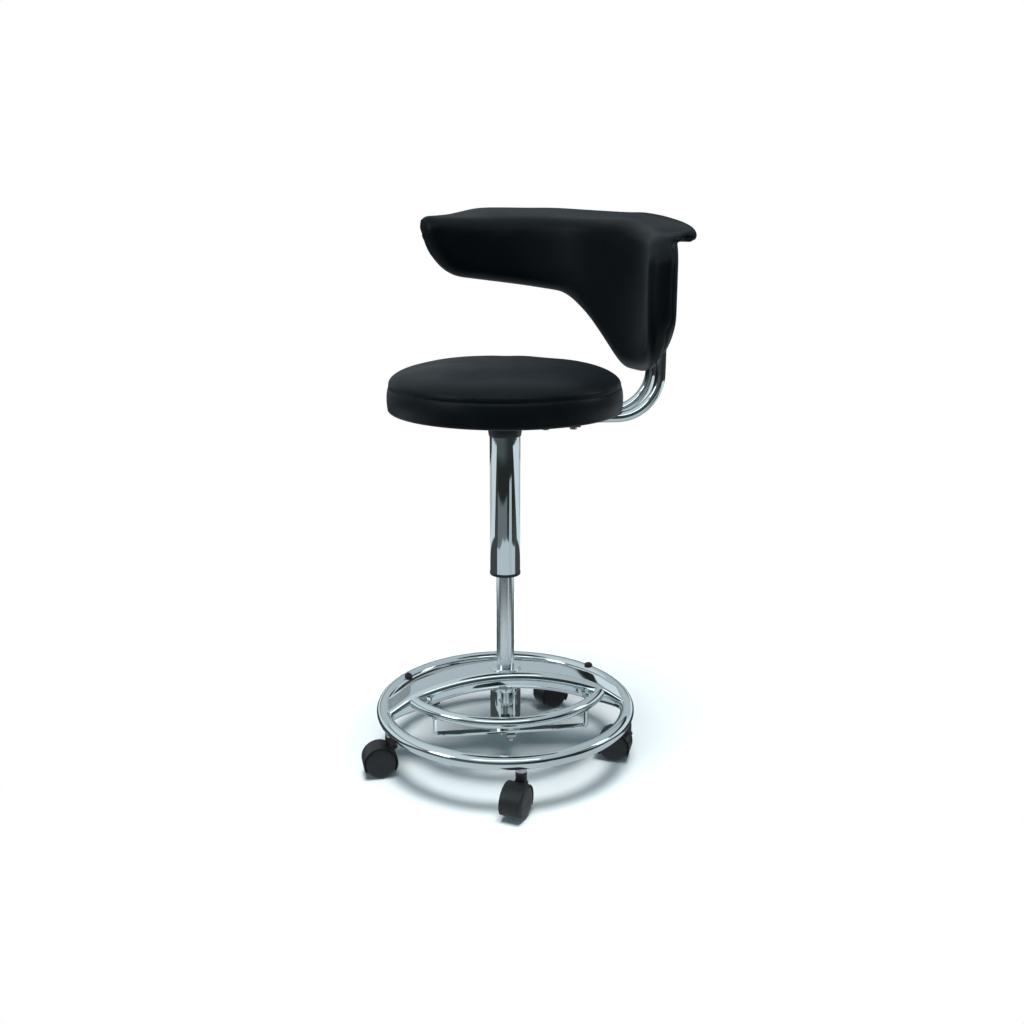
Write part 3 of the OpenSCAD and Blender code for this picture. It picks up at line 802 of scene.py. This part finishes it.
def stitches(name, loop, normals):
    """Short lengths of thread along a closed loop of points on a skin."""
    run = [0.0]
    for k, p in enumerate(loop):
        run.append(run[-1] + (loop[(k + 1) % len(loop)] - p).length)
    count = round(run[-1] / STITCH_PITCH)
    verts, faces = [], []
    at = 0
    for k in range(count):
        faces += capped_faces(STITCH_STEPS + 1, THREAD_SIDES, len(verts))
        for step in range(STITCH_STEPS + 1):
            share = step / STITCH_STEPS
            s = (k + STITCH_SHARE * share) * run[-1] / count
            while run[at + 1] < s:
                at += 1
            t = (s - run[at]) / (run[at + 1] - run[at])
            after = (at + 1) % len(loop)
            n = normals[at].lerp(normals[after], t).normalized()
            side = n.cross(loop[after] - loop[at]).normalized()
            high = (0.05 + 0.25 * math.sin(math.pi * share)) * MM
            p = loop[at].lerp(loop[after], t) + n * high
            verts += [p + (n * math.cos(w) + side * math.sin(w)) * THREAD_R
                      for w in turns(THREAD_SIDES)]
    finished(new_piece(name, verts, faces, ALL_SMOOTH), "seat", "black_plastic")


def seat_grid(steps, params):
    profile = [seat_profile(t) for t in params]
    return [polar(r, a, z) for a in turns(steps) for r, z in profile]


SEAT_COARSE = (96, 41)
SEAT_FINE = (288, 241)


def wrinkle(a):
    """Uneven gathering of the skin round the seam, at azimuth a."""
    return noise.noise(Vector((a * 34, 3.1, 0))) + 0.5 * noise.noise(Vector((a * 83, 9.7, 0)))


def seat_cushion():
    steps, count = SEAT_COARSE
    coarse = [0.02] + [2 * k / (count - 1) for k in range(1, count)]
    caps = [tuple(i * count for i in range(steps)),
            tuple(i * count + count - 1 for i in reversed(range(steps)))]
    pinned = np.array([abs(t - 1) < 0.03 or t > 1.85 for t in coarse] * steps, float)
    moved = puffed(seat_grid(steps, coarse), grid_faces(steps, count, True) + caps, pinned, 3.0,
                   2.4 * MM)
    moved = calmed(moved, steps, count, True, 6)
    steps, count = SEAT_FINE
    fine = [2 * k / (count - 1) for k in range(count)]
    base = iter(np.array(seat_grid(steps, fine)) + stretched(moved, *SEAT_COARSE, *SEAT_FINE))
    out = []
    for a in turns(steps):
        flat = Vector(polar(1, a))
        gather = wrinkle(a)
        for t in fine:
            p = Vector(next(base))
            # The seam pulls the skin in along a narrow line, and gathers it into small puckers
            away = abs(t - 1) * 100 * MM
            pull = (1.5 * bell(away, 1.3 * MM) + 0.9 * bell(away, 7 * MM)) * MM
            pucker = 0.45 * MM * gather * bell(away, 9 * MM) * (1 - bell(away, 1.6 * MM))
            inward = Vector((-flat.x * 0.8, -flat.y * 0.8, -0.6)) if t <= 1 else -flat
            p += inward * pull + flat * pucker
            # The foam is a little uneven under the top panel
            if t < 0.9:
                p.z += 0.35 * MM * noise.noise(p * 11) * (1 - t)
            out.append(p)
    # The first ring of points closes the middle of the top
    for i in range(steps):
        out[i * count] = Vector((0, 0, out[1].z))
    cushion = new_piece("seat_upholstery", out, grid_faces(steps, count, True), ALL_SMOOTH)
    finished(cushion, "seat", "vinyl", "seat_cover", "seat_cushion")

    # Stitches of thick thread just below the seam
    loop = [out[i * count + count // 2 + 3] for i in range(steps)]
    stitches("seat_stitching", loop, [Vector((p.x, p.y, 0)).normalized() for p in loop])

    rim = SEAT_R - 9 * MM
    lining = turned("seat_lining", [(0, SEAT_LOW + 1.2 * MM), (rim - 5 * MM, SEAT_LOW + 1.2 * MM),
                                    (rim, SEAT_LOW + 0.4 * MM), (rim, SEAT_LOW + 2.2 * MM),
                                    (0, SEAT_LOW + 2.2 * MM)], 0.4 * MM, 2, 128, False)
    finished(lining, "seat", "black_rubber")


# Backrest: the skin is set out over its azimuths and along the length of its section
PAD_START = -19.0
PAD_END = 118.2
LIP_START = -5.0
PAD_FRONT_R = 209.5 * MM
PAD_THICK = 42 * MM
LIP_THICK = 18 * MM
LIP_R = 286 * MM
FOLD_R = 22 * MM
INNER_FOLD_R = 5 * MM
SHORT_LIP = 16 * MM
FOLD_LOW_Z = 803 * MM
FOLD_HIGH_Z = 825 * MM


def corner(t):
    return 1 - math.sqrt(max(0.0, 1 - min(1.0, max(0.0, t)) ** 2))


def pad_low(a):
    """Height of the pad's lower edge at azimuth a, in degrees."""
    return PAD_LOW + MM * (109 * smooth((a - 19) / 42) + 26 * min(1, max(0, (a - 50) / 50))
                           + 100 * corner((a - 99) / 20) + 92 * corner((13 - a) / 32))


def pad_top(a):
    """Height of the lip's outer edge at azimuth a, in degrees."""
    rear = max(0.0, 31 - a)
    return PAD_TOP - MM * (8 * (1 - smooth((a - 31) / 40)) + 0.55 * max(0.0, a - 94)
                           + 0.45 * rear + 0.0105 * rear * rear)


def fold_z(a):
    """Height at which the front starts to fold outwards into the lip."""
    return FOLD_LOW_Z + (FOLD_HIGH_Z - FOLD_LOW_Z) * smooth((a - LIP_START) / 36)


def rear_r(z):
    """Radius of the pad's rear at a height: the lobe gets thinner downwards."""
    full = PAD_FRONT_R + PAD_THICK
    return full - 21 * MM * (1 - smooth((z - 0.600) / 0.105))


def cosine_end(count):
    """Shares from 0 to 1 that are close together at 0."""
    return [1 - math.cos(math.pi / 2 * k / (count - 1)) for k in range(count)]


def pad_section(a, lip_a, wall, fold, lip, reach):
    """The front and rear outlines at one azimuth, as pairs of (radius, height) points."""
    z_low = pad_low(a)
    z_fold = fold_z(lip_a)
    run = LIP_R - PAD_FRONT_R - FOLD_R
    slope = math.atan2(pad_top(lip_a) - z_fold - FOLD_R, run)
    turn = math.pi / 2 - slope
    centre = (PAD_FRONT_R + FOLD_R, z_fold)
    top = (centre[0] - FOLD_R * math.cos(turn), z_fold + FOLD_R * math.sin(turn))
    along = (math.cos(slope), math.sin(slope))
    down = (math.sin(slope), -math.cos(slope))
    length = ((LIP_R - top[0]) / along[0]) * reach
    # The rear's tight fold lies where its wall meets the lip's underside
    under = (top[0] + down[0] * LIP_THICK, top[1] + down[1] * LIP_THICK)
    rear_wall = rear_r(z_fold)
    meet = (rear_wall - under[0]) / along[0]
    tight = INNER_FOLD_R * math.tan(turn / 2)
    rear_top = under[1] + along[1] * meet - tight
    tight_centre = (rear_wall + INNER_FOLD_R, rear_top)
    lip_from = meet + tight
    overhang = smooth((length - meet) / SHORT_LIP)
    end = (under[0] + along[0] * length, under[1] + along[1] * length)
    rear_top -= (1 - overhang) * SHORT_LIP
    count = len(fold) + len(lip)

    def risen(k, folded):
        """The rear's point k above the wall: on its fold, or straight up if the lip is short."""
        t = (k + 1) / count
        straight = (rear_wall + (end[0] - rear_wall) * t, rear_top + (end[1] - rear_top) * t)
        return tuple(s + (f - s) * overhang for s, f in zip(straight, folded))

    def on_lip(start, s):
        return start[0] + along[0] * s, start[1] + along[1] * s
    pairs = []
    for v in wall:
        z = z_low + (z_fold - z_low) * v
        z_rear = z_low + (rear_top - z_low) * v
        pairs.append(((PAD_FRONT_R, z), (rear_r(z_rear), z_rear)))
    arc = FOLD_R * turn
    front_from = max(0.0, min(lip_from, length * 0.5))
    for k, v in enumerate(fold):
        s = v * (arc + front_from)
        if s < arc:
            w = s / FOLD_R
            front = (centre[0] - FOLD_R * math.cos(w), centre[1] + FOLD_R * math.sin(w))
        else:
            front = on_lip(top, s - arc)
        w = turn * v
        rear = (tight_centre[0] - INNER_FOLD_R * math.cos(w),
                tight_centre[1] + INNER_FOLD_R * math.sin(w))
        pairs.append((front, risen(k, rear)))
    for k, v in enumerate(lip):
        front = on_lip(top, front_from + (length - front_from) * v)
        rear = on_lip(under, lip_from + (length - lip_from) * v)
        pairs.append((front, risen(len(fold) + k, rear)))
    return pairs


def pad_azimuths(columns, edge):
    """Azimuths of the columns: close together where the two ends are rounded."""
    tip = math.degrees(PAD_THICK / 2 / (PAD_FRONT_R + PAD_THICK / 2))
    ends = [tip * v for v in cosine_end(edge)]
    middle = columns - 2 * edge
    span_a = PAD_END - PAD_START
    return ([PAD_START + e for e in ends]
            + [PAD_START + tip + (span_a - 2 * tip) * (k + 1) / (middle + 1) for k in range(middle)]
            + [PAD_END - e for e in reversed(ends)])


def pad_skin(columns, edge, rows):
    """Grids of front and rear points, columns by rows."""
    low_rows, wall_rows, fold_rows, lip_rows, tip_rows = rows
    # Shares of the wall's height and of the lip's length; their outer ends are rounded
    wall = [0.16 * v for v in cosine_end(low_rows)]
    wall += [0.16 + 0.84 * (k + 1) / wall_rows for k in range(wall_rows)]
    fold = [(k + 1) / fold_rows for k in range(fold_rows)]
    lip = [0.7 * (k + 1) / lip_rows for k in range(lip_rows)]
    lip += [1 - 0.3 * v for v in reversed(cosine_end(tip_rows)[:-1])]
    base = len(wall)
    total = len(wall) + len(fold) + len(lip)
    front, rear = [], []
    for a in pad_azimuths(columns, edge):
        # The lip starts further round than the body does
        pull = (LIP_START - PAD_START) * max(0.0, 1 - (a - PAD_START) / 40) ** 2
        lip_a = a + pull
        # The lip runs out into the arm's tip, and has a rounded corner at its other end
        clip = (0.16 * corner((LIP_START + 9 - lip_a) / 9) + 0.80 * smooth((lip_a - 88) / 30)
                + 0.06 * corner((lip_a - PAD_END + 7) / 7))
        for k, (f, b) in enumerate(pad_section(a, lip_a, wall, fold, lip, 1 - clip)):
            share = smooth((k - base * 0.75) / (total - 6 - base * 0.75))
            w = math.radians(a + pull * share)
            front.append(polar(f[0], w, f[1]))
            rear.append(polar(b[0], w, b[1]))
    front = np.array(front).reshape(columns, total, 3)
    rear = np.array(rear).reshape(columns, total, 3)
    middle = (front + rear) / 2
    # Full thickness inside, and a rounded edge all round
    tree_body = kdtree_of([middle[:, 0], middle[0], middle[-1]])
    tree_lip = kdtree_of([middle[:, -1]])
    share = np.ones((columns, total))
    lipness = np.array([smooth((k - base) / len(fold)) for k in range(total)])
    for i in range(columns):
        for k in range(total):
            p = Vector(middle[i, k])
            body = tree_body.find(p)[2] if 0 < i < columns - 1 and k > 0 else 0.0
            edge_r = PAD_THICK / 2 + (LIP_THICK * 0.62 - PAD_THICK / 2) * lipness[k]
            tip = tree_lip.find(p)[2] if k < total - 1 else 0.0
            share[i, k] = rounded(body, edge_r) * rounded(tip, LIP_THICK / 2)
    share = share[..., None]
    return middle + (front - middle) * share, middle + (rear - middle) * share


def kdtree_of(rows):
    """A search tree over polylines of points, filled in so that none is far from a point."""
    points = []
    for row in rows:
        for p, q in zip(row[:-1], row[1:]):
            pieces = max(1, round(float(np.linalg.norm(q - p)) / (1.5 * MM)))
            points += [p + (q - p) * t / pieces for t in range(pieces)]
        points.append(row[-1])
    return search_tree(points)


def search_tree(points):
    tree = kdtree.KDTree(len(points))
    for index, p in enumerate(points):
        tree.insert(Vector(p), index)
    tree.balance()
    return tree


def rounded(distance, radius):
    """Share of the full thickness at a distance from a rounded edge."""
    return math.sqrt(max(0.0, 1 - (1 - min(1.0, distance / radius)) ** 2))


PAD_COUNTS = (76, 7, (7, 20, 8, 6, 5))


def smoothed(piece, levels):
    """Applies a subdivision surface of so many levels to the piece."""
    modifier = piece.modifiers.new("smooth", "SUBSURF")
    modifier.levels = levels
    modifier.render_levels = levels
    bpy.context.view_layer.objects.active = piece
    bpy.ops.object.modifier_apply(modifier=modifier.name)
    for face in piece.data.polygons:
        face.use_smooth = True


def outward(verts, faces):
    """The faces, turned so that the closed skin's volume is positive."""
    volume = 0.0
    for face in faces:
        p = Vector(verts[face[0]])
        for j, k in zip(face[1:-1], face[2:]):
            volume += p.dot(Vector(verts[j]).cross(Vector(verts[k])))
    return faces if volume > 0 else [f[::-1] for f in faces]


PAD_SEAM_INSET = 3


def backrest_pad():
    front, rear = pad_skin(*PAD_COUNTS)
    columns, rows = front.shape[:2]
    verts = np.concatenate([front.reshape(-1, 3), rear.reshape(-1, 3)])
    count = columns * rows
    faces = grid_faces(columns, rows) + [f[::-1] for f in grid_faces(columns, rows, first=count)]
    rim = np.ones((columns, rows))
    rim[1:-1, 1:-1] = 0
    pinned = np.concatenate([rim.reshape(-1)] * 2)
    moved = puffed(verts, outward(verts, faces), pinned, 4.0, 2.2 * MM)
    verts = verts + np.concatenate([calmed(half, columns, rows, False, 5)
                                    for half in (moved[:count], moved[count:])])
    # The rear panel is sewn to the front one along a line just inside the rim
    grid = verts[count:].reshape(columns, rows, 3)
    k = PAD_SEAM_INSET
    line = ([grid[i, k] for i in range(k, columns - k - 1)]
            + [grid[columns - k - 1, j] for j in range(k, rows - k - 1)]
            + [grid[i, rows - k - 1] for i in range(columns - k - 1, k, -1)]
            + [grid[k, j] for j in range(rows - k - 1, k, -1)])
    pad = new_piece("backrest_upholstery", verts, faces, ALL_SMOOTH)
    smoothed(pad, 2)
    mesh = pad.data
    skin = search_tree([v.co for v in mesh.vertices])
    # The seam follows an even curve on the smoothed skin
    line = even_loop([Vector(p) for p in line], 2.0 * MM)
    normals = []
    for _ in range(2):
        line = [(line[k - 1] + p * 2 + line[(k + 1) % len(line)]) / 4 for k, p in enumerate(line)]
    on_skin = []
    for p in line:
        near = [mesh.vertices[i] for _, i, _ in skin.find_n(p, 4)]
        n = sum((v.normal for v in near), Vector()).normalized()
        high = sum((v.co.dot(n) for v in near)) / 4
        on_skin.append(p + n * (high - p.dot(n)))
        normals.append(n)
    seam = search_tree(on_skin)
    moves = []
    for v in mesh.vertices:
        _, k, away = seam.find(v.co)
        gather = (noise.noise(Vector((k * 0.11, 5.3, 0)))
                  + 0.5 * noise.noise(Vector((k * 0.3, 2.9, 0))))
        groove = 1.3 * bell(away, 1.9 * MM) + 0.5 * bell(away, 6 * MM)
        pucker = 0.4 * gather * bell(away, 9 * MM)
        broad = 0.35 * noise.noise(v.co * 11)
        moves.append(v.normal * (pucker + broad - groove) * MM)
    for v, move in zip(mesh.vertices, moves):
        v.co += move
    stitches("backrest_stitching", [p - n * 1.2 * MM for p, n in zip(on_skin, normals)], normals)
    finished(pad, "seat", "vinyl", "backrest_pad", "backrest_rear_cover", "backrest_board")


def even_loop(loop, step):
    """The closed loop with points at even steps."""
    out, left = [], 0.0
    for k, p in enumerate(loop):
        ahead = loop[(k + 1) % len(loop)] - p
        length = ahead.length
        while left < length:
            out.append(p + ahead * (left / length))
            left += step
        left -= length
    return out


# ------------------------------------------------------------------ casters

WHEEL_R = 25 * MM
WHEEL_W = 13.5 * MM
AXLE_R = 4 * MM
TRAIL = 18 * MM
WEB_T = 7 * MM
WHEEL_GAP = 0.7 * MM
HOOD_R = 26.9 * MM
HOOD_IN_R = 25.5 * MM
HOOD_MID_R = (HOOD_R + HOOD_IN_R) / 2
HOOD_W = 33 * MM
HOOD_DROP = 15 * MM
HOOD_STEPS = 64
HUB_FACE_R = 0.01 * MM
NECK_R = 8.5 * MM
NECK_HOLE_R = 5.6 * MM
NECK_LOW = 43 * MM
# Azimuth on the ring, and the direction each caster trails in, in degrees
CASTERS = {"front": (-90, -121), "right": (-18, 158), "rear_right": (54, 203),
           "rear_left": (126, 100), "left": (198, 187)}


def wheel(side):
    """One wheel round the Y axis, with a plain slightly domed face outwards."""
    r, w = WHEEL_R, WHEEL_W
    made = turned("wheel", [(AXLE_R, 0), (r - 1.5 * MM, 0), (r, 1.5 * MM), (r, w - 4.6 * MM),
                            (r - 1.2 * MM, w - 2.4 * MM), (r - 3.4 * MM, w - 1.1 * MM),
                            (r - 6 * MM, w - 0.55 * MM), (r - 12 * MM, w - 0.15 * MM),
                            (HUB_FACE_R, w - 0.05 * MM), (HUB_FACE_R, w - 0.9 * MM),
                            (AXLE_R, w - 0.9 * MM)], 0.8 * MM, 3, 72)
    # Fine flash line round the tread
    for v in made.data.vertices:
        away = math.hypot(v.co.x, v.co.y)
        if away > WHEEL_R - 0.3 * MM:
            kept = 1 - 0.25 * MM * bell(v.co.z - 5 * MM, 0.5 * MM) / away
            v.co.x *= kept
            v.co.y *= kept
    made.data.transform(Matrix.Translation((TRAIL, side * (WEB_T / 2 + WHEEL_GAP), WHEEL_R))
                        @ Matrix.Rotation(math.radians(-90 * side), 4, "X"))
    return made


def hood():
    """The body over both wheels: a wrapped drum with rolled edges, a web and the stem's neck."""
    half = HOOD_W / 2
    lip = fillet([(-half, HOOD_R), (half, HOOD_R), (half, HOOD_IN_R), (-half, HOOD_IN_R)],
                 0.6 * MM, 4)
    below = math.asin(HOOD_DROP / HOOD_R)
    sweep_a = math.pi + 2 * below
    verts = []
    for k in range(HOOD_STEPS + 1):
        a = -below + sweep_a * k / HOOD_STEPS
        # The two ends are rounded over
        end = min(k, HOOD_STEPS - k) * sweep_a / HOOD_STEPS * HOOD_R
        share = rounded(end, 1.5 * MM) * 0.6 + 0.4
        for y, r in lip:
            x, z, _ = polar(HOOD_MID_R + (r - HOOD_MID_R) * share, a)
            verts.append((TRAIL + x, y * (0.985 + 0.015 * share), WHEEL_R + z))
    shell = new_piece("hood_shell", verts, capped_faces(HOOD_STEPS + 1, len(lip)), 40)
    edge = HOOD_IN_R + 0.6 * MM
    web = turned("web", [(3.0 * MM, -WEB_T / 2), (edge, -WEB_T / 2), (edge, WEB_T / 2),
                         (3.0 * MM, WEB_T / 2)], 0.5 * MM, 2, 72)
    web.data.transform(Matrix.Translation((TRAIL, 0, WHEEL_R))
                       @ Matrix.Rotation(math.pi / 2, 4, "X"))
    # The web is cut off level with the drum's ends
    for v in web.data.vertices:
        v.co.z = max(v.co.z, WHEEL_R - HOOD_DROP)
    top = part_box("caster_front_hood")[1][2]
    neck = turned("neck", [(NECK_R, NECK_LOW), (NECK_R, top), (NECK_HOLE_R, top),
                           (NECK_HOLE_R, NECK_LOW)], 0.7 * MM, 3, 48)
    # A fillet of plastic where the neck grows out of the drum
    root = lathe("neck_root", [(r * MM, z * MM) for r, z in (
        (8.3, 50.5), (9.2, 47.6), (10.6, 45.8), (10.2, 44), (8.2, 43))], 48)
    return joined("hood", [shell, web, neck, root])


def casters():
    for name, (azimuth, yaw) in CASTERS.items():
        place_at = (Matrix.Translation(polar(RING_R, math.radians(azimuth)))
                    @ Matrix.Rotation(math.radians(yaw), 4, "Z"))
        body = hood()
        body.name = "caster_body_" + name
        body.data.transform(place_at)
        finished(body, "caster_" + name, "caster_plastic", "caster_" + name + "_hood")
        for side, letter in ((1, "a"), (-1, "b")):
            made = wheel(side)
            made.name = "caster_disc_" + name + "_" + letter
            made.data.transform(place_at)
            finished(made, "wheel_" + name + "_" + letter, "caster_plastic",
                     "caster_" + name + "_wheel_" + letter)


for build in (foot_ring, arched_beam, hub, ring_plugs, foot_bow, strap, strap_bolt, column,
              frame_tubes, seat_cushion, backrest_pad, casters):
    build()

# ------------------------------------------------------------------ stage, light and camera

CAMERA_DISTANCE = 1.6132
CAMERA_HEIGHT = 0.8357
CAMERA_AZIMUTH = math.radians(-6.62)
CAMERA_TURN = math.radians(-7.0)
CAMERA_PITCH = math.radians(15.04)
CAMERA_LENS = 37.85
FLOOR_R = 0.78
FLOOR_DROP = 0.5 * MM
BLUE_WHITE = (0.55, 0.86, 1.0)


def hidden_from(piece, *rays):
    for ray in rays:
        setattr(piece, "visible_" + ray, False)


def floor_disc():
    floor = raw_piece("floor", [polar(FLOOR_R, a) for a in turns(96)], [tuple(range(96))])
    material, _, _ = shader("pale_floor", (0.90, 0.93, 0.94), 0.0, 0.9, Specular_IOR_Level=0.1)
    floor.data.materials.append(material)
    floor.location.z = -FLOOR_DROP
    hidden_from(floor, "glossy")


def light(name, kind, colour, power):
    """A lamp that can't be seen in a mirror, and its data."""
    data = bpy.data.lights.new(name, kind)
    data.energy = power
    data.color = colour
    lamp = placed(name, data)
    hidden_from(lamp, "camera", "glossy")
    return lamp, data


def area_light(name, where, aim, size, power):
    lamp, data = light(name, "AREA", BLUE_WHITE, power)
    data.shape = "RECTANGLE"
    data.size, data.size_y = size
    lamp.location = where
    lamp.rotation_euler = (Vector(aim) - Vector(where)).to_track_quat("-Z", "Y").to_euler()


def overhead_light(strength, angle, tilt):
    """One very wide, soft light from above. Its angles are in degrees."""
    lamp, data = light("overhead", "SUN", (0.96, 0.99, 1.0), strength)
    data.angle = math.radians(angle)
    lamp.rotation_euler = [math.radians(a) for a in tilt]


def studio_world():
    """What the chrome and the vinyl see: dim walls, a lighter far left, a pale ceiling and a
    grey floor. The camera itself sees plain white, and matt surfaces an even dim blue."""
    world = bpy.data.worlds.new("studio")
    bpy.context.scene.world = world
    world.use_nodes = True
    tree = world.node_tree
    where = node(tree, "ShaderNodeTexCoord")
    split = node(tree, "ShaderNodeSeparateXYZ")
    tree.links.new(where.outputs["Generated"], split.inputs["Vector"])
    x, y, z = (split.outputs[axis] for axis in "XYZ")

    def fade(axis, start, end, before, after):
        """From one brightness or colour to another, between two places along an axis."""
        colours = [(0.88 * c, 0.97 * c, c) if isinstance(c, float) else c
                   for c in (before, after)]
        return mixed(tree, remap(tree, axis, 0.0, 1.0, start, end, "SMOOTHSTEP"), *colours)
    upper_wall = fade(y, -0.56, -0.26, 0.025, 0.05)
    lower_wall = fade(y, -0.56, -0.26, 0.05, 0.07)
    wall = fade(z, -0.27, -0.33, upper_wall, lower_wall)
    wall = fade(z, -0.49, -0.55, wall, 0.42)
    back = fade(x, -0.02, 0.24, 0.34, 0.02)
    near = fade(x, -0.4, 0.5, 0.10, 0.03)
    low_sky = fade(y, -0.2, 0.2, near, back)
    ceiling = fade(x, -0.7, 0.7, 0.80, 0.56)
    sky = fade(z, 0.47, 0.56, low_sky, ceiling)
    # A dark band at eye level, which the seat's side and the backrest reflect
    level = fade(x, -0.5, 0.5, 0.10, 0.035)
    upper = fade(z, 0.02, 0.08, level, sky)
    colour = fade(z, -0.15, -0.10, wall, upper)
    rays = node(tree, "ShaderNodeLightPath")
    matt = mixed(tree, rays.outputs["Is Diffuse Ray"], colour, (0.025, 0.050, 0.058))
    seen = mixed(tree, rays.outputs["Is Camera Ray"], matt, (1, 1, 1))
    tree.links.new(seen, tree.nodes["Background"].inputs["Color"])
    tree.nodes["Background"].inputs["Strength"].default_value = 1.0


def card(name, brightness, corners):
    """A strip of card of even brightness that shows only in reflections. Its corners go along
    one edge and back along the other."""
    last = len(corners) - 1
    made = raw_piece(name, corners,
                     [(k, k + 1, last - k - 1, last - k) for k in range(last // 2)])
    material, _, _ = shader(name, (0, 0, 0), 0.0, 1.0, Specular_IOR_Level=0.0,
                            Emission_Color=(0.86, 0.95, 1.0, 1), Emission_Strength=brightness)
    made.data.materials.append(material)
    hidden_from(made, "camera", "diffuse", "shadow", "transmission")


def flat_card(name, brightness, height, corners):
    """A card that lies level."""
    card(name, brightness, [(x, y, height) for x, y in corners])


def upright_card(name, brightness, start, end, low, high):
    """A card that stands on the line from start to end."""
    card(name, brightness, [(*start, low), (*end, low), (*end, high), (*start, high)])


WALL_STEPS = 24
WALL_TOP = 0.42
WALL_DIP = 0.20


def low_wall():
    """A white wall round the sides and back, low enough that the upholstery doesn't mirror it. Its
    top dips at the back."""
    low_edge, high_edge = [], []
    for k in range(WALL_STEPS + 1):
        high_a = -36 + 237 * k / WALL_STEPS
        dip = smooth((high_a - 35) / 20) * smooth((155 - high_a) / 20)
        low_edge.append(polar(1.0, math.radians(6 + 170 * k / WALL_STEPS)))
        high_edge.append(polar(1.0, math.radians(high_a), WALL_TOP - WALL_DIP * dip))
    card("low_wall", 0.86, low_edge + high_edge[::-1])


floor_disc()
studio_world()
overhead_light(4.0, 33, (4, 1, 0))
area_light("left_box", (-1.9, -1.7, 1.3), (0, 0, 0.65), (1.1, 2.0), 14)
area_light("right_box", (2.4, -0.2, 1.3), (0, 0, 0.5), (0.8, 2.0), 6)
# Low cards on the near side put long soft streaks on the upright tubes
flat_card("near_card", 0.60, 2 * MM, [(-0.03, -0.10), (0.14, -0.05), (1.75, -1.9), (1.05, -2.1)])
flat_card("mid_card", 0.20, 0, [(-0.30, -0.06), (-0.03, -0.24), (0.28, -1.8), (-1.7, -0.9)])
# One close to the base, which only the thin tube sees
flat_card("close_card", 0.66, 1 * MM, [
    (-0.80, -0.28), (-0.40, -0.82), (0.10, -0.91), (0.60, -0.70), (0.86, -0.22),
    (0.22, -0.02), (0.14, -0.08), (0, -0.11), (-0.14, -0.08), (-0.22, -0.02)])
# A card behind the base that lightens the beam's top
upright_card("low_card", 0.60, (-0.70, 0.40), (0.80, 0.40), 0.22, 0.39)
low_wall()
# Small bright cards for the highlights along the ring, the bow and the frame tubes
upright_card("left_flash", 3.4, (-2.2, -1.6), (-2.4, -0.7), 1.0, 2.4)
upright_card("right_flash", 2.6, (2.4, -0.5), (2.4, 0.1), 0.9, 1.9)
flat_card("strip", 3.0, 1.7, [(-1.0, -1.40), (0.7, -1.50), (0.7, -1.20), (-1.0, -1.10)])
bpy.context.scene.view_settings.view_transform = "Standard"

camera_data = bpy.data.cameras.new("camera")
camera_data.lens = CAMERA_LENS
camera_data.sensor_width = 36
camera_data.clip_end = 100
camera = placed("camera", camera_data)
camera.location = polar(CAMERA_DISTANCE, CAMERA_AZIMUTH - math.pi / 2, CAMERA_HEIGHT)
camera.rotation_euler = (math.pi / 2 - CAMERA_PITCH, 0, CAMERA_TURN)
bpy.context.scene.camera = camera
